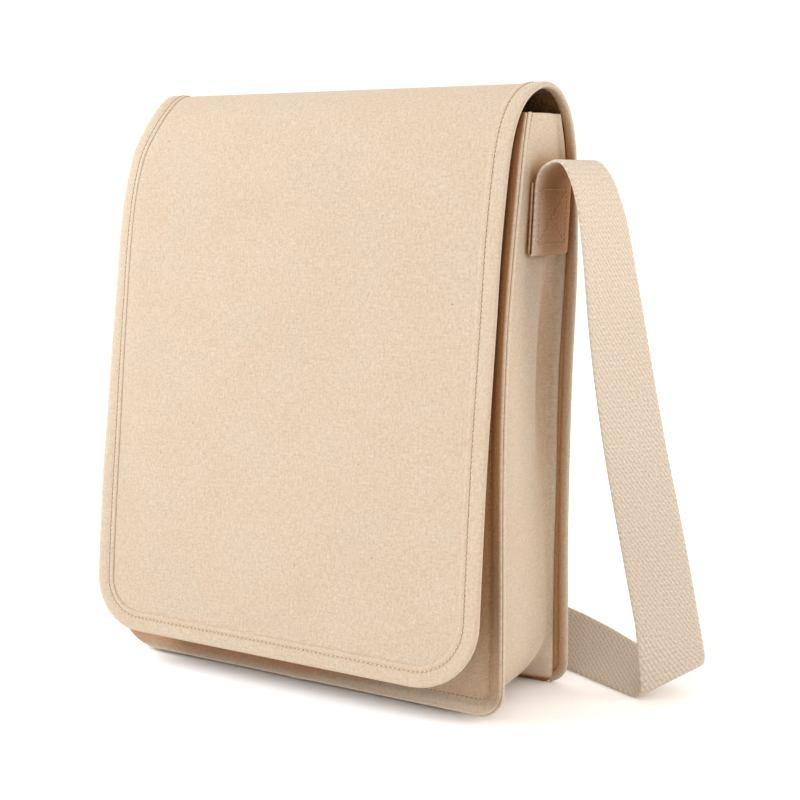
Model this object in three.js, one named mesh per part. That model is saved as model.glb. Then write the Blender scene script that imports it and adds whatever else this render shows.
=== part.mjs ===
// Conference bag: a canvas messenger bag with a deep front flap and a webbing shoulder strap.
// Millimetres, +Z up. The origin is the middle of the base, the flap hangs on the -Y side.
import * as THREE from 'three';

// Cloth walls and the clearance between pieces that are sewn together.
const CLOTH = 1.8;
const GAP = 0.3;
const SEAT = CLOTH + GAP;

// Body: lower corner radius in the front view, how far the pinched front seam stands above the
// floor, the share of the base that rises to it, the front panel's hollow and the mouth's height.
const CORNER_RADIUS = 22;
const SEAM_LIFT = 2.5;
const SEAM_RISE = 0.35;
const FRONT_HOLLOW = 2;
const MOUTH_HEIGHT = 361;

// Flap and back: corner radii of the flap's end and of the back panel's foot.
const FLAP_CORNER = 33;
const FOOT_CORNER = 14;

// Stretch of the cloth that bends over the top, by its length from the back panel's foot.
const ARCH_START = 335;
const ARCH_END = 485;

// Folded band round the flap: wall, its width outside and inside, the length of the back panel's
// foot that it leaves free, and the small flat inside its two bends.
const BAND_WALL = 1;
const BAND_OUTSIDE = 12;
const BAND_INSIDE = 4.5;
const BAND_FOOT = 0.4;
const BAND_EASE = 0.1;

// Steps of the faceted surfaces: across a cloth, up a side of the body, round its lower corner,
// along the back, over the arch, down the flap and round the cloth's own corners.
const ACROSS_STEPS = 10;
const SIDE_STEPS = 18;
const CORNER_STEPS = 5;
const BACK_STEPS = 8;
const ARCH_STEPS = 36;
const FLAP_STEPS = 14;
const ROUND_STEPS = 6;

// Shoulder strap webbing: width and thickness.
const STRAP_WIDTH = 40;
const STRAP_THICK = 1.8;

// Body sections by height: front panel's outer face, the gusset's half widths at its front edge,
// middle and back edge, and the gusset's back edge.
const BODY = [
  { z: 0, frontY: -39.2, frontX: 147.5, middleX: 146.5, backX: 146, backY: 42.1 },
  { z: 70, frontY: -39.9, frontX: 147.5, middleX: 146, backX: 145.5, backY: 42.1 },
  { z: 135, frontY: -41.6, frontX: 147.5, middleX: 145, backX: 146, backY: 42.1 },
  { z: 175, frontY: -40.6, frontX: 147, middleX: 144.6, backX: 146, backY: 42.1 },
  { z: 210, frontY: -37.2, frontX: 146.2, middleX: 144.4, backX: 146.6, backY: 42.1 },
  { z: 240, frontY: -33.2, frontX: 145.5, middleX: 144.4, backX: 148, backY: 42.1 },
  { z: 280, frontY: -27.6, frontX: 145.8, middleX: 145.2, backX: 149.6, backY: 42.1 },
  { z: 315, frontY: -20.4, frontX: 145.6, middleX: 145.8, backX: 149.2, backY: 42 },
  { z: 340, frontY: -12.4, frontX: 144.2, middleX: 145.6, backX: 148, backY: 41.3 },
  { z: 361, frontY: 0.5, frontX: 141, middleX: 144.4, backX: 145.8, backY: 39 },
];

// Folds pressed into the gusset: height, place from front (0) to back (1), depth, and half spans.
const GUSSET_FOLDS = [
  { z: 225, across: 0.8, depth: 4.5, tall: 62, wide: 0.16 },
  { z: 34, across: 0.68, depth: 5, tall: 20, wide: 0.22 },
];

// How fast a fold's depth comes in from the gusset's sewn edges, where it is nil.
const FOLD_HOLD = 8;

// Back and flap: outer face in side view from the back panel's foot over the arch to the flap's
// end, with the widths of the cloth there to the right and left of the middle. The left end of the
// arch is drawn in.
const PANEL = [
  { y: 45, z: 1, right: 155, left: 155 },
  { y: 45, z: 110, right: 153.2, left: 153.2 },
  { y: 45, z: 200, right: 153.8, left: 153.8 },
  { y: 45, z: 272, right: 155.6, left: 155.6 },
  { y: 45, z: 330, right: 154, left: 153.2 },
  { y: 44.4, z: 352, right: 152, left: 149 },
  { y: 41.5, z: 366, right: 149.4, left: 144.9 },
  { y: 34.5, z: 375.5, right: 146.8, left: 140.3 },
  { y: 23.5, z: 379.3, right: 144.2, left: 135.6 },
  { y: 11, z: 376.4, right: 141.8, left: 132.6 },
  { y: 0, z: 369, right: 139.6, left: 131.9 },
  { y: -9.5, z: 357.5, right: 138.4, left: 133.5 },
  { y: -18, z: 341, right: 138.4, left: 136.8 },
  { y: -26, z: 315, right: 138.9, left: 138.2 },
  { y: -33, z: 280, right: 139.1, left: 138.2 },
  { y: -38.8, z: 240, right: 139.5, left: 138.5 },
  { y: -44.8, z: 200, right: 139.8, left: 138.8 },
  { y: -52, z: 150, right: 140.3, left: 139.4 },
  { y: -59.8, z: 90, right: 141.5, left: 140.9 },
  { y: -65.6, z: 26, right: 141.9, left: 141.9 },
];

// The strap's two sides. Each has its sewn end on the gusset (middle of the lower edge and of the
// top, and plan angle), the falling stretch over the turned top (middle of the webbing, and the plan
// angle of its cross line from +Y), the start of the roll at the floor, and the lower edge on the
// floor up to the middle of the back, with the lean of the webbing from flat. Angles in degrees.
const STRAP_RIGHT = {
  sewn: { footY: 13, footZ: 280, topY: 17, topZ: 320, yaw: 7 },
  fall: [
    { x: 152.5, y: 17.2, z: 324.5, yaw: 8 },
    { x: 154.6, y: 17.3, z: 328.6, yaw: 8.5 },
    { x: 160, y: 17.6, z: 331.8, yaw: 10 },
    { x: 165.4, y: 17.9, z: 333.5, yaw: 11 },
    { x: 169.8, y: 18.1, z: 331, yaw: 12.5 },
    { x: 173.6, y: 18.3, z: 325.4, yaw: 14 },
    { x: 177.4, y: 18.7, z: 317, yaw: 16 },
    { x: 182.5, y: 20, z: 297, yaw: 20 },
    { x: 186.5, y: 22, z: 270, yaw: 25 },
    { x: 190.5, y: 26, z: 235, yaw: 33 },
    { x: 195, y: 30, z: 200, yaw: 39 },
    { x: 200.8, y: 35, z: 160, yaw: 45 },
    { x: 207.4, y: 41, z: 120, yaw: 51 },
    { x: 214.4, y: 46, z: 80, yaw: 54 },
    { x: 220, y: 49.4, z: 48, yaw: 52 },
  ],
  roll: { x: 223.8, y: 50.7, z: 18.6, yaw: 52 },
  floor: [
    { x: 181, y: 53, lean: 22 },
    { x: 163, y: 61.5, lean: 27 },
    { x: 147, y: 69, lean: 35 },
    { x: 118, y: 79.5, lean: 50 },
    { x: 80, y: 87.5, lean: 67 },
    { x: 40, y: 91.5, lean: 80 },
    { x: 0, y: 93, lean: 84 },
  ],
};
const STRAP_LEFT = {
  sewn: { footY: 15, footZ: 280, topY: 18, topZ: 307, yaw: 5 },
  fall: [
    { x: 153.4, y: 18.4, z: 313, yaw: 5 },
    { x: 154.6, y: 18.7, z: 318.6, yaw: 5 },
    { x: 157.2, y: 19, z: 321, yaw: 5 },
    { x: 159.8, y: 19.3, z: 318.6, yaw: 5 },
    { x: 161, y: 19.8, z: 310, yaw: 6 },
    { x: 166, y: 26, z: 260, yaw: 14 },
    { x: 171.5, y: 37, z: 180, yaw: 26 },
    { x: 178.5, y: 48, z: 110, yaw: 38 },
    { x: 185, y: 56.5, z: 60, yaw: 49 },
    { x: 187.4, y: 59, z: 44, yaw: 51 },
  ],
  roll: { x: 190.5, y: 61, z: 18.6, yaw: 52 },
  floor: [
    { x: 150, y: 62.2, lean: 30 },
    { x: 125, y: 72.5, lean: 42 },
    { x: 85, y: 84, lean: 62 },
    { x: 40, y: 91.3, lean: 79 },
    { x: 0, y: 93, lean: 84 },
  ],
};

// Roll at the floor: slope of the line that the webbing turns over, and the bend's radius.
const ROLL_SLOPE = THREE.MathUtils.degToRad(24);
const ROLL_RADIUS = 7;

// Steps along the strap's stretches and round the turned edge of a sewn end, and the spots each way
// at which that end is held clear of the gusset.
const FALL_STEPS = 36;
const ROLL_STEPS = 8;
const FLOOR_STEPS = 20;
const TURN_STEPS = 4;
const SEWN_SPOTS = 6;

// Sewn end: distance between the middles of its two layers, and its clearance from the gusset.
const SEWN_LAYERS = STRAP_THICK + 2 * GAP;
const SEWN_CLEAR = 0.5;

// Short length to each side over which the direction of a curve is taken.
const TICK = 0.3;

const vec = (x, y, z) => new THREE.Vector3(x, y, z);

// Smooth curve through one column of a table, read at a value of its key column.
function column(table, key, name) {
  const at = table.map((row) => row[key]);
  const to = table.map((row) => row[name]);
  const last = at.length - 1;
  const slope = at.map((_, i) => {
    const a = Math.max(i - 1, 0);
    const b = Math.min(i + 1, last);
    return (to[b] - to[a]) / (at[b] - at[a]);
  });
  return (value) => {
    const inside = THREE.MathUtils.clamp(value, at[0], at[last]);
    const next = Math.max(1, at.findIndex((a) => a >= inside));
    const i = next - 1;
    const span = at[next] - at[i];
    const f = (inside - at[i]) / span;
    const ease = f * f * (3 - 2 * f);
    const rise = f * (1 - f) * span;
    return to[i] + (to[next] - to[i]) * ease + rise * ((1 - f) * slope[i] - f * slope[next]);
  };
}

// Table rows with their running length along the x, y, z (or y, z) line that they mark.
function measured(table) {
  let length = 0;
  return table.map((row, i) => {
    if (i > 0) {
      const was = table[i - 1];
      length += Math.hypot((row.x ?? 0) - (was.x ?? 0), row.y - was.y, (row.z ?? 0) - (was.z ?? 0));
    }
    return { ...row, length };
  });
}

const steps = (count, from, to) =>
  Array.from({ length: count + 1 }, (_, i) => from + ((to - from) * i) / count);

// Closed solid through sections. Each section is a face chain and a back chain of as many points.
function loft(sections) {
  const width = sections[0].face.length;
  const ring = 2 * width;
  const points = sections.flatMap(({ face, back }) => [...face, ...[...back].reverse()]);
  const index = [];
  const quad = (a, b, c, d) => index.push(a, b, c, a, c, d);
  for (let i = 0; i + 1 < sections.length; i += 1) {
    for (let k = 0; k < ring; k += 1) {
      const here = i * ring;
      const there = here + ring;
      const next = (k + 1) % ring;
      quad(here + k, there + k, there + next, here + next);
    }
  }
  const end = (sections.length - 1) * ring;
  for (let k = 0; k + 1 < width; k += 1) {
    const opposite = ring - 1 - k;
    quad(k, k + 1, opposite - 1, opposite);
    quad(end + k + 1, end + k, end + opposite, end + opposite - 1);
  }
  if (signedVolume(points, index) < 0) {
    index.reverse();
  }
  const geometry = new THREE.BufferGeometry();
  geometry.setFromPoints(points);
  geometry.setIndex(index);
  geometry.computeVertexNormals();
  return geometry;
}

function signedVolume(points, index) {
  let total = 0;
  for (let i = 0; i < index.length; i += 3) {
    const [a, b, c] = [points[index[i]], points[index[i + 1]], points[index[i + 2]]];
    total += a.dot(vec(0, 0, 0).crossVectors(b, c)) / 6;
  }
  return total;
}

// Unit normals of a grid of points, from the crossing of its row and column directions.
function gridNormals(grid) {
  const rows = grid.length - 1;
  return grid.map((line, i) =>
    line.map((_, j) => {
      const along = grid[Math.min(i + 1, rows)][j].clone().sub(grid[Math.max(i - 1, 0)][j]);
      const ahead = line[Math.min(j + 1, line.length - 1)];
      const across = ahead.clone().sub(line[Math.max(j - 1, 0)]);
      return along.cross(across).normalize();
    }),
  );
}

// A grid of points given a wall on the side that its normals point away from.
function sheet(grid, wall) {
  const normals = gridNormals(grid);
  return loft(
    grid.map((face, i) => ({
      face,
      back: face.map((p, j) => p.clone().addScaledVector(normals[i][j], -wall)),
    })),
  );
}

// Inset of a rounded corner at a distance past the start of its arc.
const cornerInset = (radius, past) =>
  past <= 0 ? 0 : radius - Math.sqrt(Math.max(radius * radius - past * past, 0));

const bodyColumn = (name) => column(BODY, 'z', name);
const frontY = bodyColumn('frontY');
const frontX = bodyColumn('frontX');
const middleX = bodyColumn('middleX');
const backX = bodyColumn('backX');
const backY = bodyColumn('backY');

const bell = (offset, span) => Math.exp(-((offset / span) ** 2));

// Half width of the gusset at a height and a place from its front edge (0) to its back edge (1).
function gussetHalf(z, across) {
  const spread =
    frontX(z) * (1 - across) * (1 - 2 * across) +
    middleX(z) * 4 * across * (1 - across) +
    backX(z) * across * (2 * across - 1);
  const dents = GUSSET_FOLDS.map(
    (fold) => fold.depth * bell(z - fold.z, fold.tall) * bell(across - fold.across, fold.wide),
  );
  const held = Math.min(1, FOLD_HOLD * across * (1 - across));
  return spread - held * dents.reduce((sum, d) => sum + d, 0);
}

function gussetY(z, across) {
  return THREE.MathUtils.lerp(frontY(z) + SEAT + GAP, backY(z), across);
}

// The strip's stations, from the top of one side round the base to the top of the other.
function gussetStations() {
  const side = steps(SIDE_STEPS, MOUTH_HEIGHT, CORNER_RADIUS).map((z) => ({ z, turn: 0 }));
  const turns = steps(CORNER_STEPS, 0, Math.PI / 2).slice(1);
  const corner = turns.map((turn) => ({ z: CORNER_RADIUS, turn }));
  const half = [...side, ...corner].map((s) => ({ ...s, sign: 1 }));
  const mirrored = half.map((s) => ({ ...s, sign: -1 })).reverse();
  return [...half, ...mirrored];
}

// Height of the base's lower line: it lifts towards the pinched front seam.
const baseLift = (across) => SEAM_LIFT * Math.max(0, 1 - across / SEAM_RISE) ** 2;

function gussetPoint({ z, turn, sign }, across) {
  const half = gussetHalf(z, across) - CORNER_RADIUS * (1 - Math.cos(turn));
  const drop = (CORNER_RADIUS - baseLift(across)) * Math.sin(turn);
  return vec(sign * half, gussetY(z, across), z - drop);
}

function makeGusset() {
  const places = steps(ACROSS_STEPS, 0, 1);
  const grid = gussetStations().map((s) => places.map((across) => gussetPoint(s, across)));
  return sheet(grid, CLOTH);
}

// Front panel: the gusset's front outline filled in, from its lower edge to the mouth.
function makeFrontPanel() {
  const stations = gussetStations().filter(({ sign }) => sign > 0).reverse();
  const grid = stations.map(({ z, turn }) => {
    const half = frontX(z) - CORNER_RADIUS * (1 - Math.cos(turn));
    const height = z - (CORNER_RADIUS - SEAM_LIFT) * Math.sin(turn);
    return steps(ACROSS_STEPS, 1, -1).map((f) => {
      const hollow = FRONT_HOLLOW * (1 - f * f) * Math.sin((Math.PI * height) / MOUTH_HEIGHT);
      return vec(f * half, frontY(height) + hollow, height);
    });
  });
  return sheet(grid, CLOTH);
}

// Back and flap, by length along their middle line.
const panelRows = measured(PANEL);
const panelLength = panelRows[panelRows.length - 1].length;
const panelY = column(panelRows, 'length', 'y');
const panelZ = column(panelRows, 'length', 'z');
const panelRight = column(panelRows, 'length', 'right');
const panelLeft = column(panelRows, 'length', 'left');

// Distance from the middle line to the cloth's edge on the side of f, which is 1 at the right edge.
function panelReach(along, f) {
  const foot = cornerInset(FOOT_CORNER, FOOT_CORNER - along);
  const end = cornerInset(FLAP_CORNER, along - (panelLength - FLAP_CORNER));
  return (f > 0 ? panelRight(along) : panelLeft(along)) - foot - end;
}

function panelStations() {
  const turns = steps(ROUND_STEPS, 0, Math.PI / 2);
  const arc = (radius) => turns.map((turn) => radius * (1 - Math.cos(turn)));
  const foot = arc(FOOT_CORNER);
  const end = arc(FLAP_CORNER).map((d) => panelLength - d).reverse();
  const back = steps(BACK_STEPS, FOOT_CORNER, ARCH_START).slice(1);
  const arch = steps(ARCH_STEPS, ARCH_START, ARCH_END).slice(1);
  const fall = steps(FLAP_STEPS, ARCH_END, end[0]).slice(1);
  return [...foot, ...back, ...arch, ...fall, ...end.slice(1)];
}

const panelPoint = (along, f) => vec(f * panelReach(along, f), panelY(along), panelZ(along));

// Direction away from the bag at a place along the panel, square to its middle line.
function panelOutward(along) {
  const dy = panelY(along + TICK) - panelY(along - TICK);
  const dz = panelZ(along + TICK) - panelZ(along - TICK);
  return vec(0, dz, -dy).normalize();
}

function makePanel() {
  const sections = panelStations().map((along) => {
    const face = steps(ACROSS_STEPS, -1, 1).map((f) => panelPoint(along, f));
    const inward = panelOutward(along).multiplyScalar(-CLOTH);
    return { face, back: face.map((p) => p.clone().add(inward)) };
  });
  return loft(sections);
}

// Edge line of the cloth from one foot of the back, round the flap, to the other foot.
function edgeLine() {
  const side = panelStations();
  const right = side.map((along) => ({ along, f: 1 }));
  const across = steps(ACROSS_STEPS, 1, -1).slice(1, -1).map((f) => ({ along: panelLength, f }));
  const left = side.map((along) => ({ along, f: -1 })).reverse();
  return [...right, ...across, ...left];
}

// Folded band: a channel over the cloth's edge, its outside leg wider than its inside leg.
function makeBand() {
  const line = edgeLine();
  const places = line.map(({ along, f }) => panelPoint(along, f));
  const sections = places.map((place, i) => {
    const ahead = places[Math.min(i + 1, places.length - 1)];
    const run = ahead.clone().sub(places[Math.max(i - 1, 0)]).normalize();
    const out = panelOutward(line[i].along);
    const inward = run.clone().cross(out).normalize();
    const at = (depth, height) =>
      place.clone().addScaledVector(inward, depth).addScaledVector(out, height);
    const top = GAP;
    const under = -CLOTH - GAP;
    return {
      face: [
        at(BAND_OUTSIDE, top + BAND_WALL),
        at(-GAP, top + BAND_WALL),
        at(-GAP - BAND_WALL, top),
        at(-GAP - BAND_WALL, under),
        at(-GAP, under - BAND_WALL),
        at(BAND_INSIDE, under - BAND_WALL),
      ],
      back: [
        at(BAND_OUTSIDE, top),
        at(-GAP + BAND_EASE, top),
        at(-GAP, top - BAND_EASE),
        at(-GAP, under + BAND_EASE),
        at(-GAP + BAND_EASE, under),
        at(BAND_INSIDE, under),
      ],
    };
  });
  return loft(sections.filter((_, i) => line[i].along >= BAND_FOOT));
}

// Level unit line at a plan angle in degrees from +Y towards +X.
function crossLine(yaw) {
  const angle = THREE.MathUtils.degToRad(yaw);
  return vec(Math.sin(angle), Math.cos(angle), 0);
}

// One cross line of the webbing: its two ends, A towards the front and B towards the back.
function crossAt(middle, direction, length = STRAP_WIDTH) {
  const reach = direction.clone().multiplyScalar(length / 2);
  return { a: middle.clone().sub(reach), b: middle.clone().add(reach) };
}

// Smooth columns of a table by the length along its rows, and that whole length.
function route(table, names) {
  const rows = measured(table);
  const curves = names.map((name) => [name, column(rows, 'length', name)]);
  return { ...Object.fromEntries(curves), whole: rows[rows.length - 1].length };
}

// How far out a sewn end has to lie to clear the gusset all over its own outline.
function sewnSeat(sewn, across) {
  const spots = steps(SEWN_SPOTS, 0, 1).flatMap((f) => steps(SEWN_SPOTS, -1, 1).map((side) => {
    const z = THREE.MathUtils.lerp(sewn.footZ, sewn.topZ, f);
    const reach = across.clone().multiplyScalar((side * STRAP_WIDTH) / 2);
    const y = THREE.MathUtils.lerp(sewn.footY, sewn.topY, f) + reach.y;
    const place = (y - gussetY(z, 0)) / (gussetY(z, 1) - gussetY(z, 0));
    return gussetHalf(z, place) - reach.x;
  }));
  return Math.max(...spots) + SEWN_CLEAR + STRAP_THICK / 2;
}

// Sewn end: down the gusset as the inner layer, round its turned edge and up as the outer one.
function strapSewn(sewn) {
  const across = crossLine(sewn.yaw);
  const off = across.clone().cross(vec(0, 0, 1));
  const seat = sewnSeat(sewn, across);
  const top = (layer) => vec(seat, sewn.topY, sewn.topZ).addScaledVector(off, layer * SEWN_LAYERS);
  const foot = (layer) => vec(seat, sewn.footY, sewn.footZ).addScaledVector(off, layer * SEWN_LAYERS);
  const turn = steps(TURN_STEPS, 0, Math.PI).slice(1, -1).map((angle) => {
    const lower = (SEWN_LAYERS / 2) * Math.sin(angle);
    return foot((1 - Math.cos(angle)) / 2).sub(vec(0, 0, lower));
  });
  const middles = [top(0), foot(0), ...turn, foot(1), top(1)];
  return middles.map((middle) => crossAt(middle, across));
}

function strapFall(table) {
  const fall = route(table, ['x', 'y', 'z', 'yaw']);
  return steps(FALL_STEPS, 0, fall.whole).map((along) => {
    const middle = vec(fall.x(along), fall.y(along), fall.z(along));
    return crossAt(middle, crossLine(fall.yaw(along)));
  });
}

// The roll at the floor: straight lines of the webbing laid round a cylinder on the slanted axis,
// until the webbing runs level.
function strapRoll(roll) {
  const level = crossLine(roll.yaw);
  const up = vec(0, 0, 1);
  const axis = level.clone().multiplyScalar(Math.cos(ROLL_SLOPE));
  axis.addScaledVector(up, Math.sin(ROLL_SLOPE));
  const forward = level.clone().multiplyScalar(Math.sin(ROLL_SLOPE));
  forward.addScaledVector(up, -Math.cos(ROLL_SLOPE));
  const inside = up.clone().cross(level);
  const turn = Math.acos(-(Math.tan(ROLL_SLOPE) ** 2));
  return steps(ROLL_STEPS, 0, turn).map((angle) => {
    const middle = vec(roll.x, roll.y, roll.z);
    middle.addScaledVector(axis, -Math.tan(ROLL_SLOPE) * ROLL_RADIUS * angle);
    middle.addScaledVector(forward, ROLL_RADIUS * Math.sin(angle));
    middle.addScaledVector(inside, ROLL_RADIUS * (1 - Math.cos(angle)));
    return crossAt(middle, axis, STRAP_WIDTH / Math.cos(ROLL_SLOPE));
  });
}

// On the floor the webbing stands up from its lower edge, which starts where the roll ends.
function strapFloor(table, rollEnd) {
  const first = { x: rollEnd.a.x, y: rollEnd.a.y, lean: THREE.MathUtils.radToDeg(ROLL_SLOPE) };
  const floor = route([first, ...table], ['x', 'y', 'lean']);
  return steps(FLOOR_STEPS, 0, floor.whole).map((along) => {
    const [back, ahead] = [along - TICK, along + TICK];
    const run = vec(floor.x(ahead) - floor.x(back), floor.y(ahead) - floor.y(back), 0);
    const behind = run.normalize().cross(vec(0, 0, 1));
    const rise = THREE.MathUtils.degToRad(floor.lean(along));
    const across = behind.multiplyScalar(Math.cos(rise)).setZ(Math.sin(rise));
    const a = vec(floor.x(along), floor.y(along), rollEnd.a.z);
    return { a, b: a.clone().addScaledVector(across, STRAP_WIDTH) };
  });
}

// One side of the strap, from its sewn end to the middle of the back.
function strapSide(side) {
  const roll = strapRoll(side.roll);
  const floor = strapFloor(side.floor, roll[roll.length - 1]);
  return [...strapSewn(side.sewn), ...strapFall(side.fall), ...roll, ...floor.slice(1)];
}

// Whole strap: one side, and the other side turned to the left and run the other way.
function strapCrossLines() {
  const flip = (p) => p.clone().multiply(vec(-1, 1, 1));
  const left = strapSide(STRAP_LEFT).slice(0, -1).reverse();
  return [...strapSide(STRAP_RIGHT), ...left.map(({ a, b }) => ({ a: flip(a), b: flip(b) }))];
}

function makeStrap() {
  const lines = strapCrossLines();
  const middle = ({ a, b }) => a.clone().add(b).multiplyScalar(0.5);
  const sections = lines.map((line, i) => {
    const ahead = middle(lines[Math.min(i + 1, lines.length - 1)]);
    const along = ahead.sub(middle(lines[Math.max(i - 1, 0)]));
    const off = along.cross(line.b.clone().sub(line.a)).setLength(STRAP_THICK / 2);
    return {
      face: [line.a, line.b].map((p) => p.clone().add(off)),
      back: [line.a, line.b].map((p) => p.clone().sub(off)),
    };
  });
  return loft(sections);
}

const colour = { canvas: 0xdcc09a, webbing: 0xd9c4a6 };

const group = new THREE.Group();
function add(name, geometry, tint) {
  const material = new THREE.MeshStandardMaterial({ color: tint, roughness: 0.95, metalness: 0 });
  const mesh = new THREE.Mesh(geometry, material);
  mesh.name = name;
  group.add(mesh);
}

add('front_panel', makeFrontPanel(), colour.canvas);
add('gusset', makeGusset(), colour.canvas);
add('back_flap_panel', makePanel(), colour.canvas);
add('edge_binding', makeBand(), colour.canvas);
add('shoulder_strap', makeStrap(), colour.webbing);

export default group;
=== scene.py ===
"""Conference bag: a natural canvas messenger bag with a deep flap and a webbing shoulder strap.

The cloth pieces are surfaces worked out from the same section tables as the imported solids, in metres,
with the seams, stitches, folds and weave that the plain solids leave out.
"""
import math

import bpy
import numpy as np
from bpy.props import FloatProperty, FloatVectorProperty, PointerProperty
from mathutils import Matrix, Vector


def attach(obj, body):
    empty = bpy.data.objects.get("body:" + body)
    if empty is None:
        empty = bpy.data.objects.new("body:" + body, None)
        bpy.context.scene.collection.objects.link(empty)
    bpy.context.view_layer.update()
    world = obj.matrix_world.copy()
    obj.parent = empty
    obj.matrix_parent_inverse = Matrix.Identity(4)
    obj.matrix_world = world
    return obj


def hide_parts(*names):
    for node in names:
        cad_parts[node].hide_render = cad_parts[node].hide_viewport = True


bl_info = {
    "name": "Conference bag",
    "version": (1, 0, 0),
    "blender": (4, 5, 0),
    "location": "3D View > Sidebar > Bag",
    "description": "Makes the canvas, binding, webbing and stitches of a conference bag",
    "category": "Object",
}

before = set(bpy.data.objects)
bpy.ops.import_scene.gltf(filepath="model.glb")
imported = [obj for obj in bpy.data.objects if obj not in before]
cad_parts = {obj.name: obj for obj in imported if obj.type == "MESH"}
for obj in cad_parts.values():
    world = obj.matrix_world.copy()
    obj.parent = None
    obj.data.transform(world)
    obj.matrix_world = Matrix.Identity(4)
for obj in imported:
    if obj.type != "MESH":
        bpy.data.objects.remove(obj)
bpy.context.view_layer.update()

MM = 0.001
UP = np.array([0.0, 0, 1])
MIRROR = np.array([-1.0, 1, 1])


def table(columns, *rows):
    """Columns of a listed table. Lengths are written in millimetres and kept in metres, angles
    (names ending in deg) become radians, and shares (names ending in share) stay as written."""
    made = {}
    for name, values in zip(columns.split(), zip(*rows)):
        scale = math.radians(1) if name.endswith("deg") else MM
        made[name] = np.array(values, float) * (1.0 if name.endswith("share") else scale)
    return made


# Body sections by height: the front panel's outer face, the gusset's half widths at its front edge,
# middle and back edge, and the gusset's back edge.
BODY = table(
    "z front_y front_x middle_x back_x back_y",
    (0, -39.2, 147.5, 146.5, 146, 42.1),
    (70, -39.9, 147.5, 146, 145.5, 42.1),
    (135, -41.6, 147.5, 145, 146, 42.1),
    (175, -40.6, 147, 144.6, 146, 42.1),
    (210, -37.2, 146.2, 144.4, 146.6, 42.1),
    (240, -33.2, 145.5, 144.4, 148, 42.1),
    (280, -27.6, 145.8, 145.2, 149.6, 42.1),
    (315, -20.4, 145.6, 145.8, 149.2, 42),
    (340, -12.4, 144.2, 145.6, 148, 41.3),
    (361, 0.5, 141, 144.4, 145.8, 39),
)

# Soft folds pressed into the gusset: height, place from front to back, depth and half spans.
GUSSET_FOLDS = table(
    "z place_share depth tall wide_share",
    (215, 0.82, 8, 90, 0.14),
    (190, 0.94, 7, 110, 0.07),
)

# Back and flap: outer face in side view from the back's foot over the arch to the flap's end, with
# the widths of the cloth to the right and left of the middle. The arch's left end is drawn in.
PANEL = table(
    "y z right left",
    (45, 1, 155, 155),
    (45, 110, 153.2, 153.2),
    (45, 200, 153.8, 153.8),
    (45, 272, 155.6, 155.6),
    (45, 330, 154, 153.2),
    (44.4, 352, 152, 149),
    (41.5, 366, 149.4, 144.9),
    (34.5, 375.5, 146.8, 140.3),
    (23.5, 379.3, 144.2, 135.6),
    (11, 376.4, 141.8, 133.1),
    (0, 369, 139.6, 133.1),
    (-9.5, 357.5, 138.4, 135.7),
    (-18, 341, 138.4, 140.1),
    (-26, 315, 138.9, 142.4),
    (-33, 280, 139.1, 143),
    (-38.8, 240, 139.5, 143.1),
    (-44.8, 200, 139.8, 142.6),
    (-52, 150, 140.3, 141.6),
    (-59.8, 90, 141.5, 141.4),
    (-65.6, 26, 141.9, 141.9),
)

# The left edge of the flap and arch is rolled back: how far, over what width, and the lengths along
# the cloth at which the roll begins, is full, starts to fade and ends.
EDGE_ROLL = 4 * MM
EDGE_ROLL_WIDTH = 22 * MM
EDGE_ROLL_SPAN = np.array((400, 460, 540, 660)) * MM

# Turn of the cloth's edge there towards the left, for each metre that it is rolled back.
ROLL_LEAN = 0.065 / MM

# The folded band's section: distance in from the cloth's edge and height over its outer face, from
# the outside leg's inner edge over the cloth's edge to the end of the inside leg, and back again.
BAND_SECTION = table(
    "depth height",
    (12.5, -0.15), (12.4, 0.25), (12, 0.5), (11.2, 0.65), (9.6, 0.65), (8.5, 0.45), (7.4, 0.65),
    (5.5, 0.85), (2.5, 0.9), (0.6, 0.8), (-0.6, 0.4), (-1.2, -0.1), (-1.3, -0.9), (-1.2, -1.7),
    (-0.6, -2.5), (0.6, -3), (2.5, -3.1), (4.2, -3), (4.5, -2.6), (4.5, -2.1), (-0.2, -2.1),
    (-0.3, -2), (-0.3, -0.3), (-0.2, -0.15),
)

# Pinched seam at the front panel's outline: distance in from the edge, and how far the cloth there
# lies behind the edge. The stitches run in the valley.
FRONT_LIP = table(
    "inset recess",
    (0, 0.2), (1, 0.3), (2.5, 1.1), (5, 2.2), (7.6, 3.9), (8.6, 4.3), (9.8, 4.1), (13, 3.3),
    (20, 2.8), (40, 2.5), (160, 2.5),
)

# The same seam on the gusset: distance back from its front edge, and how far the cloth stands out.
GUSSET_LIP = table(
    "inset rise",
    (0, 0.5), (1, 0.6), (2.4, 0.3), (3.6, -1), (4.4, -1.4), (5.4, -1.2), (9, -0.8), (16, -0.3),
    (30, 0), (90, 0),
)

# Turned edge where the gusset meets the back: distance forward from it, and how far it stands out.
GUSSET_BACK = table(
    "inset rise",
    (0, 0.7), (1.2, 0.7), (2.6, 0.1), (4.5, -0.6), (7, -0.5), (14, 0), (90, 0),
)

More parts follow.
